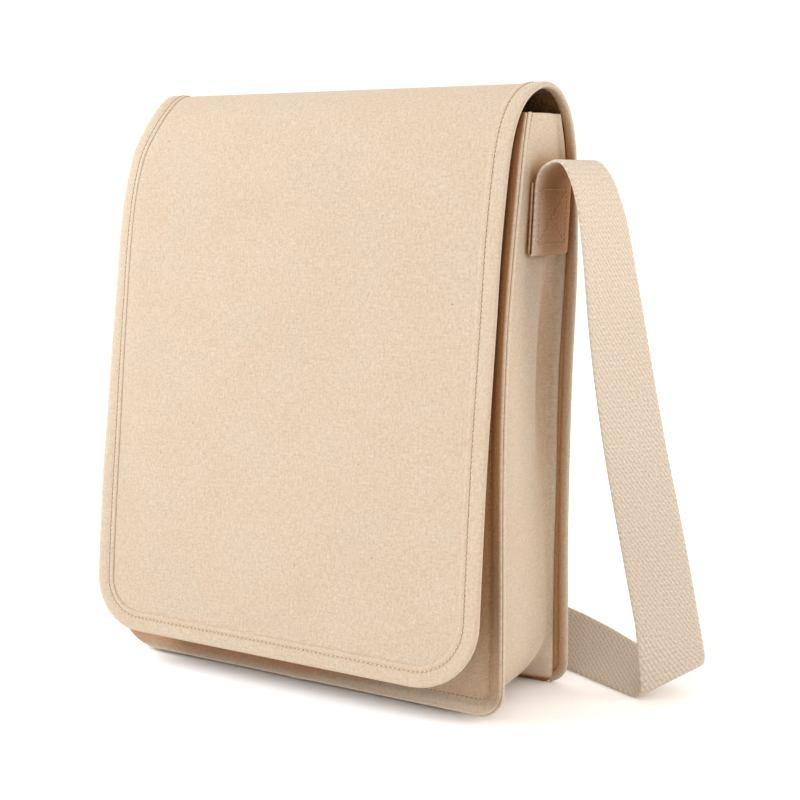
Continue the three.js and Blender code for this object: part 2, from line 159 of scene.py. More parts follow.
# The strap's two sides, as seen on the right. Each has its sewn end on the gusset, the falling
# stretch over the turned top (middle of the webbing and plan angle of its cross line from +Y), the
# start of the roll at the floor, and the lower edge on the floor with the webbing's lean from flat.
SIDES = ("right", "left")
SEWN = table("foot_y foot_z top_y top_z yaw_deg", (13, 280, 17, 320, 7), (15, 280, 18, 307, 5))
FALL = {
    "right": table(
        "x y z yaw_deg",
        (152.5, 17.2, 324.5, 8), (154.6, 17.3, 328.6, 8.5), (160, 17.6, 331.8, 10),
        (165.4, 17.9, 333.5, 11), (169.8, 18.1, 331, 12.5),
        (173.6, 18.3, 325.4, 14), (177.4, 18.7, 317, 16), (182.5, 20, 297, 20),
        (186.5, 22, 270, 25), (190.5, 26, 235, 33), (195, 30, 200, 39),
        (200.8, 35, 160, 45), (207.4, 41, 120, 51), (214.4, 46, 80, 54),
        (220, 49.4, 48, 52),
    ),
    "left": table(
        "x y z yaw_deg",
        (151.4, 18.4, 313, 5), (152.8, 18.7, 318.6, 5), (156.2, 19, 321, 5),
        (159.4, 19.3, 318.6, 5), (161, 19.8, 310, 6), (166, 26, 260, 14),
        (171.5, 37, 180, 26), (178.5, 48, 110, 38), (185, 56.5, 60, 49),
        (187.4, 59, 44, 51),
    ),
}
ROLL = table("x y z yaw_deg", (223.8, 50.7, 18.6, 52), (190.5, 61, 18.6, 52))
FLOOR = {
    "right": table(
        "x y lean_deg",
        (181, 53, 22), (163, 61.5, 27), (147, 69, 35), (118, 79.5, 50),
        (80, 87.5, 67), (40, 91.5, 80), (0, 93, 84),
    ),
    "left": table(
        "x y lean_deg",
        (150, 62.2, 30), (125, 72.5, 42), (85, 84, 62), (40, 91.3, 79), (0, 93, 84),
    ),
}

# Slope of the axis that the webbing is rolled round at the floor.
ROLL_SLOPE = math.radians(24)


def linear(code):
    """Linear colour with full alpha from an sRGB hex code."""
    parts = [int(code[i:i + 2], 16) / 255 for i in (1, 3, 5)]
    return (*[c / 12.92 if c <= 0.04045 else ((c + 0.055) / 1.055) ** 2.4 for c in parts], 1.0)


def length_property(name, description, default):
    """A length in metres, shown with its unit."""
    return FloatProperty(
        name=name, description=description, default=default, unit="LENGTH", precision=5
    )


def colour_property(name, description, code):
    """A colour, given as an sRGB hex code."""
    return FloatVectorProperty(
        name=name, description=description, default=linear(code), size=4, subtype="COLOR", min=0, max=1
    )


class BagSizes(bpy.types.PropertyGroup):
    """Sizes of the bag that a user would change."""

    cloth: length_property("Canvas", "Thickness of the canvas", 1.8 * MM)
    gap: length_property("Gap", "Clearance between pieces that are sewn together", 0.3 * MM)
    corner: length_property("Right corner", "Radius of the front's lower right corner", 17 * MM)
    left_corner: length_property("Left corner", "Radius of the front's lower left corner", 32 * MM)
    edge_step: length_property(
        "Edge step", "How far the gusset's edge stands out past the front panel", 1.2 * MM
    )
    left_draw: length_property(
        "Left draw", "How far the upper left side is drawn in at the front", 6.5 * MM
    )
    side_corner: length_property(
        "Side corner", "Radius of the gusset's lower corners between its seams", 40 * MM
    )
    seam_lift: length_property("Seam lift", "Height of the pinched lower front seam", 2.5 * MM)
    mouth: length_property("Mouth", "Height of the gusset's and front panel's top edge", 361 * MM)
    flap_corner: length_property("Flap corner", "Radius of the flap's lower left corner", 33 * MM)
    flap_right: length_property("Flap right corner", "Radius of the flap's lower right corner", 42 * MM)
    foot_corner: length_property("Foot corner", "Radius of the back's lower corners", 14 * MM)
    band_foot: length_property(
        "Band foot", "Length of the back's foot that the band leaves free", 0.4 * MM
    )
    strap_width: length_property("Strap width", "Width of the webbing", 40 * MM)
    strap_thick: length_property("Strap thickness", "Thickness of the webbing", 1.8 * MM)
    roll_radius: length_property("Roll radius", "Radius of the strap's turn at the floor", 7 * MM)
    stitch_pitch: length_property("Stitch pitch", "Distance from one stitch to the next", 3.1 * MM)
    stitch_length: length_property("Stitch length", "Length of thread that shows in a stitch", 2.6 * MM)
    thread: length_property("Thread", "Radius of the sewing thread", 0.38 * MM)


class BagColours(bpy.types.PropertyGroup):
    """Colours of the bag and its stage."""

    canvas: colour_property("Canvas", "Unbleached canvas", "#AB9D8B")
    canvas_warm: colour_property("Canvas, warm", "Warmer patches of the canvas", "#AB9A86")
    canvas_cool: colour_property("Canvas, cool", "Greyer patches of the canvas", "#A99C8A")
    # Painted shade: browner canvas where other cloth stands in front, and deeper where folds close in.
    canvas_shade: colour_property("Canvas, shade", "Canvas with other cloth in front of it", "#9B7D58")
    canvas_deep_shade: colour_property("Canvas, deep", "Canvas where folds close on each other", "#B67E48")
    fleck: colour_property("Seed fleck", "Bits of cotton seed in the yarn", "#7C5630")
    webbing: colour_property("Webbing", "Cotton webbing", "#C2B8AA")
    webbing_dark: colour_property("Webbing, dark", "Hollows between the webbing's ribs", "#AFA18F")
    # Painted shade: browner webbing where other cloth stands in front, and deeper where layers close
    # in.
    webbing_shade: colour_property(
        "Webbing, shade", "Webbing with other cloth in front of it", "#8E6A3E"
    )
    webbing_deep_shade: colour_property(
        "Webbing, deep", "Webbing where layers close on each other", "#8A5C30"
    )
    thread: colour_property("Thread", "Sewing thread", "#BEAE98")
    # Painted shade on the thread at the needle holes and along seams and sewn ends that lie in shade.
    thread_shade: colour_property("Needle hole", "Thread where it goes down into the cloth", "#8E7454")
    floor: colour_property("Floor", "Pale studio floor", "#FBFBFB")


def ramp(value, start, end):
    """Share of the way from the start to the end, held at 0 before it and at 1 past it."""
    return np.clip((value - start) / (end - start), 0, 1)


def ease(share):
    """The share with a level start and end."""
    return share * share * (3 - 2 * share)


def smooth(at, to, value):
    """Curve through the points (at, to): cubic pieces whose slope at a point is that of the chord
    between its two neighbours, read at the given values."""
    index = np.arange(len(at))
    before, after = np.maximum(index - 1, 0), np.minimum(index + 1, len(at) - 1)
    slope = (to[after] - to[before]) / (at[after] - at[before])
    inside = np.clip(value, at[0], at[-1])
    i = np.clip(np.searchsorted(at, inside) - 1, 0, len(at) - 2)
    span = at[i + 1] - at[i]
    f = (inside - at[i]) / span
    bend = f * (1 - f) * span * ((1 - f) * slope[i] - f * slope[i + 1])
    return to[i] + (to[i + 1] - to[i]) * ease(f) + bend


def run_length(points):
    """Running length along a line of points."""
    steps = np.linalg.norm(np.diff(points, axis=0), axis=1)
    return np.concatenate([[0.0], np.cumsum(steps)])


def read(at, run, columns):
    """Each column of a line's values, read at lengths along the line."""
    return np.stack([np.interp(at, run, column) for column in columns.T], axis=-1)


def joined(*parts):
    """Vectors or pairs made of their parts, which are spread to one shape."""
    return np.stack(np.broadcast_arrays(*parts), axis=-1)


def row_widths(grid):
    """Distance between the two ends of each row of a grid."""
    return np.linalg.norm(grid[:, -1] - grid[:, 0], axis=1)


def unit(vectors):
    """The vectors at length 1."""
    return vectors / np.linalg.norm(vectors, axis=-1, keepdims=True)


def normals(grid):
    """Unit normals of a grid of points: its row direction crossed with its column direction."""
    return unit(np.cross(np.gradient(grid, axis=0), np.gradient(grid, axis=1)))


def bell(offset, span):
    """Bell curve of height 1 that falls to 1/e at the span."""
    return np.exp(-((offset / span) ** 2))


def corner_inset(radius, past):
    """Inset of a quarter circle at a distance past the start of its arc."""
    inside = np.clip(past, 0, radius)
    return radius - np.sqrt(radius**2 - inside**2)


# Part-turns of the half circle that closes a wall of cloth, at its sides and at its ends.
RIM_ANGLES = np.radians((45, 90, 135))
END_ANGLES = np.radians((35, 65))


def tube_faces(index):
    """Quads between each ring of vertex numbers and the next."""
    turned = np.roll(index, -1, axis=1)
    return np.stack([index[:-1], index[1:], turned[1:], turned[:-1]], axis=2).reshape(-1, 4).tolist()


def cloth_wall(face, out, wall, uv, tone, inside):
    """Closed wall of cloth. The face grid runs round a half circle of the wall's thickness at both
    sides, comes back as the same grid set in along its normals, and at both ends the section closes
    over two part-turns of the same half circle. The inside tone, of painted shade, is for the inner
    face.
    Returns vertices, faces, and tone and uv by vertex."""
    half = wall / 2
    middle = face - out * half
    columns = face.shape[1]
    order = np.concatenate([
        np.arange(columns),
        np.full(len(RIM_ANGLES), columns - 1),
        np.arange(columns)[::-1],
        np.zeros(len(RIM_ANGLES), int),
    ])
    lift = np.concatenate([
        np.ones(columns), np.cos(RIM_ANGLES), -np.ones(columns), -np.cos(RIM_ANGLES)
    ])
    reach = np.concatenate([
        np.zeros(columns), np.sin(RIM_ANGLES), np.zeros(columns), np.sin(RIM_ANGLES)
    ])
    away = np.zeros_like(face)
    away[:, -1] = unit(face[:, -1] - face[:, -2])
    away[:, 0] = unit(face[:, 0] - face[:, 1])
    spine = middle[:, order]
    section = out[:, order] * (half * lift)[:, None] + away[:, order] * (half * reach)[:, None]

    def end_rows(row, inner):
        ahead = half * unit(middle[row] - middle[inner])[order]
        return [spine[row] + section[row] * math.cos(a) + ahead * math.sin(a) for a in END_ANGLES]

    rings = np.array([*end_rows(0, 1)[::-1], *(spine + section), *end_rows(-1, -2)])
    rows = np.clip(np.arange(len(rings)) - len(END_ANGLES), 0, len(face) - 1)
    ring = len(order)
    index = np.arange(len(rings) * ring).reshape(len(rings), ring)
    k = np.arange(columns - 1)
    back = 2 * columns + len(RIM_ANGLES) - 1 - k
    cap = np.stack([k, k + 1, back - 1, back], axis=1)
    last = index[-1, 0]
    caps = [*cap.tolist(), *(cap[:, ::-1] + last).tolist()]
    right = [columns - 1 + i for i in range(len(RIM_ANGLES) + 2)]
    left = [(ring - len(RIM_ANGLES) - 1 + i) % ring for i in range(len(RIM_ANGLES) + 2)]
    for rim in (right, left):
        caps += [rim, [last + i for i in rim[::-1]]]
    within = np.broadcast_to(inside, tone.shape)
    tone = np.where(lift == -1, within[rows][:, order], tone[rows][:, order])
    faces = [*tube_faces(index), *caps]
    return rings.reshape(-1, 3), faces, tone.ravel(), uv[rows][:, order].reshape(-1, 2)


def piece(name, kind, context, vertices, faces, tone, uv=None):
    """A mesh object of the named material, at the origin, with smooth faces that point outwards, the
    tone attribute that holds painted highlights on edges and painted shade in seams, under other cloth
    and on inner faces, and on cloth its own coordinates as a UV map in metres."""
    mesh = bpy.data.meshes.new(name)
    mesh.from_pydata(vertices.tolist(), [], faces)
    mesh.update()
    if volume(mesh, vertices) < 0:
        mesh.flip_normals()
    if uv is not None:
        corners = np.empty(len(mesh.loops), np.int32)
        mesh.loops.foreach_get("vertex_index", corners)
        layer = mesh.uv_layers.new(name="cloth")
        layer.data.foreach_set("uv", uv[corners].astype(np.float32).ravel())
    mark = mesh.attributes.new("tone", "FLOAT", "POINT")
    mark.data.foreach_set("value", tone.astype(np.float32))
    mesh.shade_smooth()
    mesh.materials.append(material(kind, context))
    made = bpy.data.objects.new(name, mesh)
    context.scene.collection.objects.link(made)
    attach(made, "root")
    return made


def volume(mesh, vertices):
    """Signed volume: a sixth of the sum of each triangle's triple product."""
    mesh.calc_loop_triangles()
    corners = np.empty(len(mesh.loop_triangles) * 3, np.int32)
    mesh.loop_triangles.foreach_get("vertices", corners)
    a, b, c = (vertices[corners.reshape(-1, 3)[:, i]] for i in range(3))
    return float(np.sum(a * np.cross(b, c)) / 6)


def add(tree, kind, sockets=None, **fields):
    """Adds a node, sets its fields, and for each input socket links an output, or another node's first
    output in use, or sets the value."""
    node = tree.nodes.new("ShaderNode" + kind)
    for name, value in fields.items():
        setattr(node, name, value)
    for name, value in (sockets or {}).items():
        if isinstance(value, bpy.types.Node):
            value = next(output for output in value.outputs if output.enabled)
        if isinstance(value, bpy.types.NodeSocket):
            tree.links.new(value, node.inputs[name])
        else:
            node.inputs[name].default_value = value
    return node


# Tones stored on the cloth, painted light and shade: above 0 a painted highlight or painted light,
# below 0 painted shade in seams, under other cloth and on inner faces. The tone from which a
# highlighted edge keeps its colour, the lowest that darkens a seam, those at which the deep painted
# shade is full and the darkening of covered cloth starts, and the tone of inner faces, the darkest.
TONE_HIGHLIGHT = 0.8
TONE_SEAM = -1.0
TONE_TINTED = -3.2
TONE_COVERED = -2.2
CLOTH_INSIDE = -4.2

# Change of brightness for each step of tone, and what is taken off on inner faces as painted shade.
TONE_STEP = 0.14
INSIDE_DARK = 0.6

# Shares of open sky over a point between which painted shade turns the cloth browner, and then
# deep, and how far off other cloth still counts.
NEAR_SKY = (0.72, 0.42)
CLOSE_SKY = (0.5, 0.26)
CANVAS_REACH, WEBBING_REACH = 34 * MM, 40 * MM


def with_painted_shade(tree, colour, shade, deep, reach, tone):
    """The colour with painted shade: browner where cloth stands within reach in front, and deeper where
    it closes in or the tone is low, as light that comes there has bounced off the cloth several times.
    A high tone, a painted highlight on an edge, keeps the colour."""
    sky = add(tree, "AmbientOcclusion", {"Distance": reach}, samples=8).outputs["AO"]
    near, close = (
        add(
            tree, "MapRange", {"Value": sky, "From Min": start, "From Max": full},
            interpolation_type="SMOOTHSTEP",
        )
        for start, full in (NEAR_SKY, CLOSE_SKY)
    )
    dull = add(tree, "MapRange", {"Value": tone, "From Max": TONE_HIGHLIGHT, "To Min": 1.0, "To Max": 0.0})
    close = add(tree, "Math", {0: close, 1: dull}, operation="MULTIPLY")
    within = add(tree, "MapRange", {"Value": tone, "From Min": 0.0, "From Max": TONE_TINTED})
    close = add(tree, "Math", {0: close, 1: within}, operation="MAXIMUM")
    for share, tint in ((near, shade), (close, deep)):
        colour = add(tree, "Mix", {"Factor": share, "A": colour, "B": tint}, data_type="RGBA")
    return colour


def flecks(tree, uv, spacing, radius, share, strength):
    """Share of a fleck's colour: round spots of about the radius, in some of the cells of a mesh."""
    seeds = add(tree, "TexVoronoi", {"Vector": uv, "Scale": 1 / spacing})
    near = add(tree, "MapRange", {
        "Value": seeds.outputs["Distance"], "From Min": 0.6 * radius / spacing,
        "From Max": 1.2 * radius / spacing, "To Min": strength, "To Max": 0.0,
    })
    chance = add(tree, "SeparateColor", {"Color": seeds.outputs["Color"]}).outputs["Red"]
    chosen = add(tree, "Math", {0: chance, 1: share}, operation="LESS_THAN")
    return add(tree, "Math", {0: near, 1: chosen}, operation="MULTIPLY")


# Relief of the canvas, as noises stretched to two lengths, with their shares: the slubs of both yarns
# and the grain. The real yarns lie about 0.6 mm apart, too fine to show at the photo's scale, so they
# are drawn at about twice that.
YARN, SLUB, GRAIN = 1.1 * MM, 6 * MM, 1.5 * MM
CANVAS_RELIEF = ((YARN, SLUB, 0.9), (SLUB, YARN, 0.6), (GRAIN, GRAIN, 1.5))

# Patches: their spread, and the noise at which they start to show and are full.
WARM_PATCH = (36 * MM, 0.35, 0.65)
COOL_PATCH = (60 * MM, 0.5, 0.7)

# Flecks: spacing, radius, share of the places that have one, and strength.
FLECKS = ((14 * MM, 0.55 * MM, 0.14, 0.75), (5 * MM, 0.5 * MM, 0.3, 0.25))

# Fuzz of the cotton yarns, on canvas and webbing.
FUZZ = {"Specular IOR Level": 0.15, "Sheen Weight": 0.1, "Sheen Roughness": 0.5}


def canvas_surface(tree, colours):
    """Unbleached cotton canvas: matte and grainy, with short slubs in both yarns, faint warm patches
    and a few brown flecks of cotton seed."""
    uv = add(tree, "UVMap", uv_map="cloth")
    height = 0.0
    for across, along, share in CANVAS_RELIEF:
        place = add(tree, "Mapping", {"Vector": uv, "Scale": (1 / across, 1 / along, 1)})
        yarn = add(tree, "TexNoise", {"Vector": place, "Scale": 1.0, "Detail": 3.0})
        height = add(tree, "Math", {0: yarn, 1: share, 2: height}, operation="MULTIPLY_ADD")
    colour = colours.canvas
    for tint, (spread, low, high) in (
        (colours.canvas_warm, WARM_PATCH), (colours.canvas_cool, COOL_PATCH)
    ):
        patch = add(tree, "TexNoise", {"Vector": uv, "Scale": 1 / spread, "Detail": 3.0})
        share = add(tree, "MapRange", {"Value": patch, "From Min": low, "From Max": high})
        colour = add(tree, "Mix", {"Factor": share, "A": colour, "B": tint}, data_type="RGBA")
    # Painted shade from the tone and from the open sky over a point: browner where other cloth stands
    # in front, deeper in folds, slots and on inner faces.
    tone = add(tree, "Attribute", attribute_name="tone").outputs["Fac"]
    colour = with_painted_shade(tree, colour, colours.canvas_shade, colours.canvas_deep_shade, CANVAS_REACH, tone)
    light = add(tree, "MapRange", {
        "Value": height, "From Min": 1.1, "From Max": 1.9, "To Min": 0.86, "To Max": 1.14,
    })
    # Painted light and shade from the tone, over the grain's relief: a high tone lightens as a painted
    # highlight, a low one darkens as painted shade, most of all on inner faces.
    seam = add(tree, "Math", {0: tone, 1: TONE_SEAM}, operation="MAXIMUM")
    grain_and_painted_light = add(tree, "Math", {0: seam, 1: TONE_STEP, 2: light}, operation="MULTIPLY_ADD")
    dark = add(tree, "MapRange", {
        "Value": tone, "From Min": TONE_COVERED, "From Max": CLOTH_INSIDE, "To Max": INSIDE_DARK,
    })
    grain_and_painted_light = add(tree, "Math", {0: grain_and_painted_light, 1: dark}, operation="SUBTRACT")
    colour = add(tree, "VectorMath", {0: colour, 1: grain_and_painted_light}, operation="MULTIPLY")
    for kind in FLECKS:
        share = flecks(tree, uv, *kind)
        colour = add(tree, "Mix", {"Factor": share, "A": colour, "B": colours.fleck}, data_type="RGBA")
    bump = add(tree, "Bump", {"Height": height, "Strength": 0.6, "Distance": 0.3 * MM})
    return {"Base Color": colour, "Roughness": 0.92, "Normal": bump, **FUZZ}


# Webbing: spacing of its slanted twill ribs across and along the strap, of its cross ribs and of the
# unevenness of its yarns, all drawn coarser than they are so that they show, and the relief of its
# hollows and of its ribs' tops.
TWILL_ACROSS = 2.6 * MM
TWILL_ALONG = 4.8 * MM
CROSS_RIB = 3.2 * MM
UNEVEN = 1.3 * MM
HOLLOW, RIB_TOP = 0.2, 0.75


def webbing_surface(tree, colours):
    """Cotton webbing: a heavy weave whose steep slanted ribs are beaded by cross ribs, matte and a
    little paler than the canvas."""
    uv = add(tree, "UVMap", uv_map="cloth")
    split = add(tree, "SeparateXYZ", {"Vector": uv})
    across, along = split.outputs["X"], split.outputs["Y"]
    slope = -TWILL_ACROSS / TWILL_ALONG
    slant = add(tree, "Math", {0: along, 1: slope, 2: across}, operation="MULTIPLY_ADD")
    relief = add(tree, "TexNoise", {"Vector": uv, "Scale": 1 / UNEVEN, "Detail": 3.0})
    for way, spacing, strength in ((slant, TWILL_ACROSS, 0.1), (along, CROSS_RIB, 0.03)):
        turns = add(tree, "Math", {0: way, 1: math.tau / spacing}, operation="MULTIPLY")
        wave = add(tree, "Math", {0: turns}, operation="SINE")
        relief = add(tree, "Math", {0: wave, 1: strength, 2: relief}, operation="MULTIPLY_ADD")
    span = {"Value": relief, "From Min": HOLLOW, "From Max": RIB_TOP}
    colour = add(tree, "Mix", {
        "Factor": add(tree, "MapRange", span), "A": colours.webbing_dark, "B": colours.webbing,
    }, data_type="RGBA")
    # Painted shade from the tone and from the open sky over a point: browner and deeper under other
    # cloth and on the sewn ends.
    tone = add(tree, "Attribute", attribute_name="tone").outputs["Fac"]
    colour = with_painted_shade(tree, colour, colours.webbing_shade, colours.webbing_deep_shade, WEBBING_REACH, tone)
    rib = add(tree, "MapRange", {**span, "To Min": 0.87, "To Max": 1.07})
    colour = add(tree, "VectorMath", {0: colour, 1: rib}, operation="MULTIPLY")
    bump = add(tree, "Bump", {"Height": relief, "Strength": 0.5, "Distance": 0.5 * MM})
    return {"Base Color": colour, "Roughness": 0.9, "Normal": bump, **FUZZ}


def thread_surface(tree, colours):
    """Spun cotton sewing thread: matte, near the canvas in colour, with painted shade at the needle
    holes and, on shaded seams and sewn ends, all along.
    """
    sunk = add(tree, "Attribute", attribute_name="tone").outputs["Fac"]
    colour = add(tree, "Mix", {
        "Factor": sunk, "A": colours.thread, "B": colours.thread_shade,
    }, data_type="RGBA")
    return {"Base Color": colour, "Roughness": 0.85, "Specular IOR Level": 0.2}


def floor_surface(tree, colours):
    """Matte painted board: pale, with the faintest unevenness."""
    place = add(tree, "TexCoord").outputs["Object"]
    grain = add(tree, "TexNoise", {"Vector": place, "Scale": 1 / (300 * MM), "Detail": 2.0})
    light = add(tree, "MapRange", {"Value": grain, "To Min": 0.99, "To Max": 1.01})
    colour = add(tree, "VectorMath", {0: colours.floor[:3], 1: light}, operation="MULTIPLY")
    return {"Base Color": colour, "Roughness": 0.9, "Specular IOR Level": 0.1}


CANVAS = "unbleached cotton canvas"
WEBBING = "cotton twill webbing"
THREAD = "spun cotton thread"
BOARD = "matte painted board"
SURFACES = {
    CANVAS: canvas_surface, WEBBING: webbing_surface, THREAD: thread_surface, BOARD: floor_surface
}


def material(name, context):
    """The named material. The first time that it is asked for, it is made of a shader with the sockets
    that the surface of that name gives."""
    made = bpy.data.materials.get(name)
    if made is None:
        made = bpy.data.materials.new(name)
        made.use_nodes = True
        tree = made.node_tree
        tree.nodes.clear()
        shader = add(tree, "BsdfPrincipled", SURFACES[name](tree, context.scene.bag_colours))
        add(tree, "OutputMaterial", {"Surface": shader})
    return made


# Back and flap: running length of its side view, the lengths at which the arch starts and ends, and the
# small step that gives directions along it.
PANEL_RUN = run_length(joined(PANEL["y"], PANEL["z"]))
PANEL_LENGTH = PANEL_RUN[-1]
ARCH_START = 335 * MM
ARCH_END = 485 * MM
TICK = 0.3 * MM


def panel_column(name, along):
    """A column of the back and flap's table at lengths along the cloth from the back's foot."""
    return smooth(PANEL_RUN, PANEL[name], along)


def panel_reach(along, share, sizes):
    """Distance from the middle line to the cloth's edge on the side of the share, rounded off at the
    back's foot and at the flap's end."""
    foot = corner_inset(sizes.foot_corner, sizes.foot_corner - along)
    radius = np.where(share > 0, sizes.flap_right, sizes.flap_corner)
    end = corner_inset(radius, along - (PANEL_LENGTH - radius))
    side = np.where(share > 0, panel_column("right", along), panel_column("left", along))
    return side - foot - end


def panel_out(along):
    """Direction away from the bag, square to the cloth's side view."""
    dy = panel_column("y", along + TICK) - panel_column("y", along - TICK)
    dz = panel_column("z", along + TICK) - panel_column("z", along - TICK)
    return unit(joined(0.0, dz, -dy))


def panel_stations(sizes, back_step, arch_step):
    """Lengths along the cloth: close together round its corners and over the arch."""
    turns = np.linspace(0, math.pi / 2, 14)
    foot = sizes.foot_corner * (1 - np.cos(turns))
    end = (PANEL_LENGTH - sizes.flap_right * (1 - np.cos(turns)))[::-1]
    back = np.arange(sizes.foot_corner, ARCH_START, back_step)[1:]
    arch = np.arange(ARCH_START, ARCH_END, arch_step)
    fall = np.arange(ARCH_END, end[0] - back_step / 2, back_step)
    return np.concatenate([foot, back, arch, fall, end])


def edge_roll(along):
    """How far the left edge is rolled back at lengths along the cloth."""
    return EDGE_ROLL * np.interp(along, EDGE_ROLL_SPAN, (0.0, 1.0, 1.0, 0.0))


def panel_points(along, share, sizes):
    """Points of the cloth's outer face at lengths along it and shares of its half width. Towards the
    left edge the cloth falls back by the square of the share of the rolled width."""
    reach = panel_reach(along, share, sizes)
    near = np.where(share < 0, ramp(reach * (1 + share), EDGE_ROLL_WIDTH, 0), 0)
    back = panel_out(along) * (edge_roll(along) * near**2)[..., None]
    return joined(share * reach, panel_column("y", along), panel_column("z", along)) - back


def edge_line(sizes, step):
    """Lengths and shares along the cloth's edge: up one side of the back, round the flap, and down
    the other side."""
    side = panel_stations(sizes, step, step)
    side = side[side >= sizes.band_foot]
    across = np.linspace(1, -1, int(2 * panel_reach(PANEL_LENGTH, 1, sizes) / step))[1:-1]
    along = np.concatenate([side, np.full(len(across), PANEL_LENGTH), side[::-1]])
    share = np.concatenate([np.ones(len(side)), across, -np.ones(len(side))])
    return along, share


def edge_frame(sizes, step):
    """Points of the edge line, with the directions out of the cloth and in from the edge."""
    along, share = edge_line(sizes, step)
    points = panel_points(along, share, sizes)
    lean = np.where(share < 0, edge_roll(along), 0) * ROLL_LEAN
    out = unit(panel_out(along) - lean[:, None] * np.array([1.0, 0, 0]))
    run = unit(np.gradient(points, axis=0))
    return points, out, unit(np.cross(run, out))


# Camera of the photo, fitted to the bag's edges in it: angles to the right of the front and above it,
# the point that it looks at, distance, and lens and sensor in millimetres.
CAMERA_AZIMUTH = math.radians(29.14)
CAMERA_ELEVATION = math.radians(9.13)
TARGET = Vector((41.06, 27.89, 179.77)) * MM
CAMERA_DISTANCE = 885.26 * MM
CAMERA_LENS, CAMERA_SENSOR = 60.63, 36.0

# Lights: name, place and size in metres, power in watts, and colour. Then the colour and strength of
# the surroundings, the height at which they start, and the floor's radius in metres.
LIGHTS = (
    ("key", (-1.9, -1.6, 1.9), 1.5, 100.0, (0.9, 0.95, 1.0)),
    ("fill", (2.6, 1.2, 1.0), 1.5, 43.0, (1.0, 0.93, 0.9)),
)
SKY_COLOUR, SKY_STRENGTH, HORIZON = (1, 0.93, 0.87, 1), 1.2, -0.02
FLOOR_RADIUS = 30.0


class BAG_OT_stage(bpy.types.Operator):
    """Camera at the photo's angle, a wide pale floor and soft studio lights"""

    bl_idname = "bag.stage"
    bl_label = "Stage"

    def execute(self, context):
        back = Vector((
            math.sin(CAMERA_AZIMUTH) * math.cos(CAMERA_ELEVATION),
            -math.cos(CAMERA_AZIMUTH) * math.cos(CAMERA_ELEVATION),
            math.sin(CAMERA_ELEVATION),
        ))
        lens = bpy.data.cameras.new("camera")
        lens.lens, lens.sensor_width = CAMERA_LENS, CAMERA_SENSOR
        context.scene.camera = self.aimed(context, lens, TARGET + back * CAMERA_DISTANCE)
        context.scene.view_settings.view_transform = "Standard"
        self.make_floor(context)
        self.make_lights(context)
        return {"FINISHED"}

    def aimed(self, context, data, place):
        """A camera or light object at a place, turned to the target."""
        made = bpy.data.objects.new(data.name, data)
        made.location = place
        made.rotation_mode = "QUATERNION"
        made.rotation_quaternion = (Vector(place) - TARGET).to_track_quat("Z", "Y")
        context.scene.collection.objects.link(made)
        return made

    def make_floor(self, context):
        """A flat round board that reaches far past the camera. It casts no shadow, so that cloth near
        it doesn't take the painted shade that cloth near cloth takes."""
        angle = np.linspace(0, math.tau, 97)[:-1]
        ring = FLOOR_RADIUS * joined(np.cos(angle), np.sin(angle), 0.0)
        mesh = bpy.data.meshes.new("floor")
        mesh.from_pydata(ring.tolist(), [], [list(range(len(ring)))])
        mesh.shade_smooth()
        mesh.materials.append(material(BOARD, context))
        floor = bpy.data.objects.new("floor", mesh)
        floor.visible_shadow = False
        context.scene.collection.objects.link(floor)

    def make_lights(self, context):
        """Warm white surroundings down to the horizon, a large cool key light from the upper left
        and a warmer one from behind on the right."""
        world = bpy.data.worlds.new("studio")
        world.use_nodes = True
        tree = world.node_tree
        tree.nodes.clear()
        place = add(tree, "TexCoord").outputs["Generated"]
        rise = add(tree, "SeparateXYZ", {"Vector": place}).outputs["Z"]
        above = add(tree, "Math", {0: rise, 1: HORIZON}, operation="GREATER_THAN")
        bright = add(tree, "Math", {0: above, 1: SKY_STRENGTH}, operation="MULTIPLY")
        glow = add(tree, "Background", {"Color": SKY_COLOUR, "Strength": bright})
        add(tree, "OutputWorld", {"Surface": glow})
        context.scene.world = world
        for name, place, size, power, colour in LIGHTS:
            lamp = bpy.data.lights.new(name, "AREA")
            lamp.size, lamp.energy, lamp.color = size, power, colour
            self.aimed(context, lamp, place)


# Unevenness of the back and flap: heights of the flap's bulge, of the slow wave on it and of the back's
# sag, and for the two waves the turns across and along in radians, and the start.
BULGE, WAVE, SAG = 1.6 * MM, 0.5 * MM, 0.8 * MM
WAVE_ACROSS, WAVE_ALONG, WAVE_START = 5.1, 9.0, 0.6
SAG_ACROSS, SAG_ALONG = 3.4, 4.0

# Tone of the back panel's inner face, painted shade, and the lengths from the arch's start between
# which it deepens to the darker painted shade inside the arch.
BACK_INSIDE = -1.4
BACK_FADE = (-35 * MM, 15 * MM)


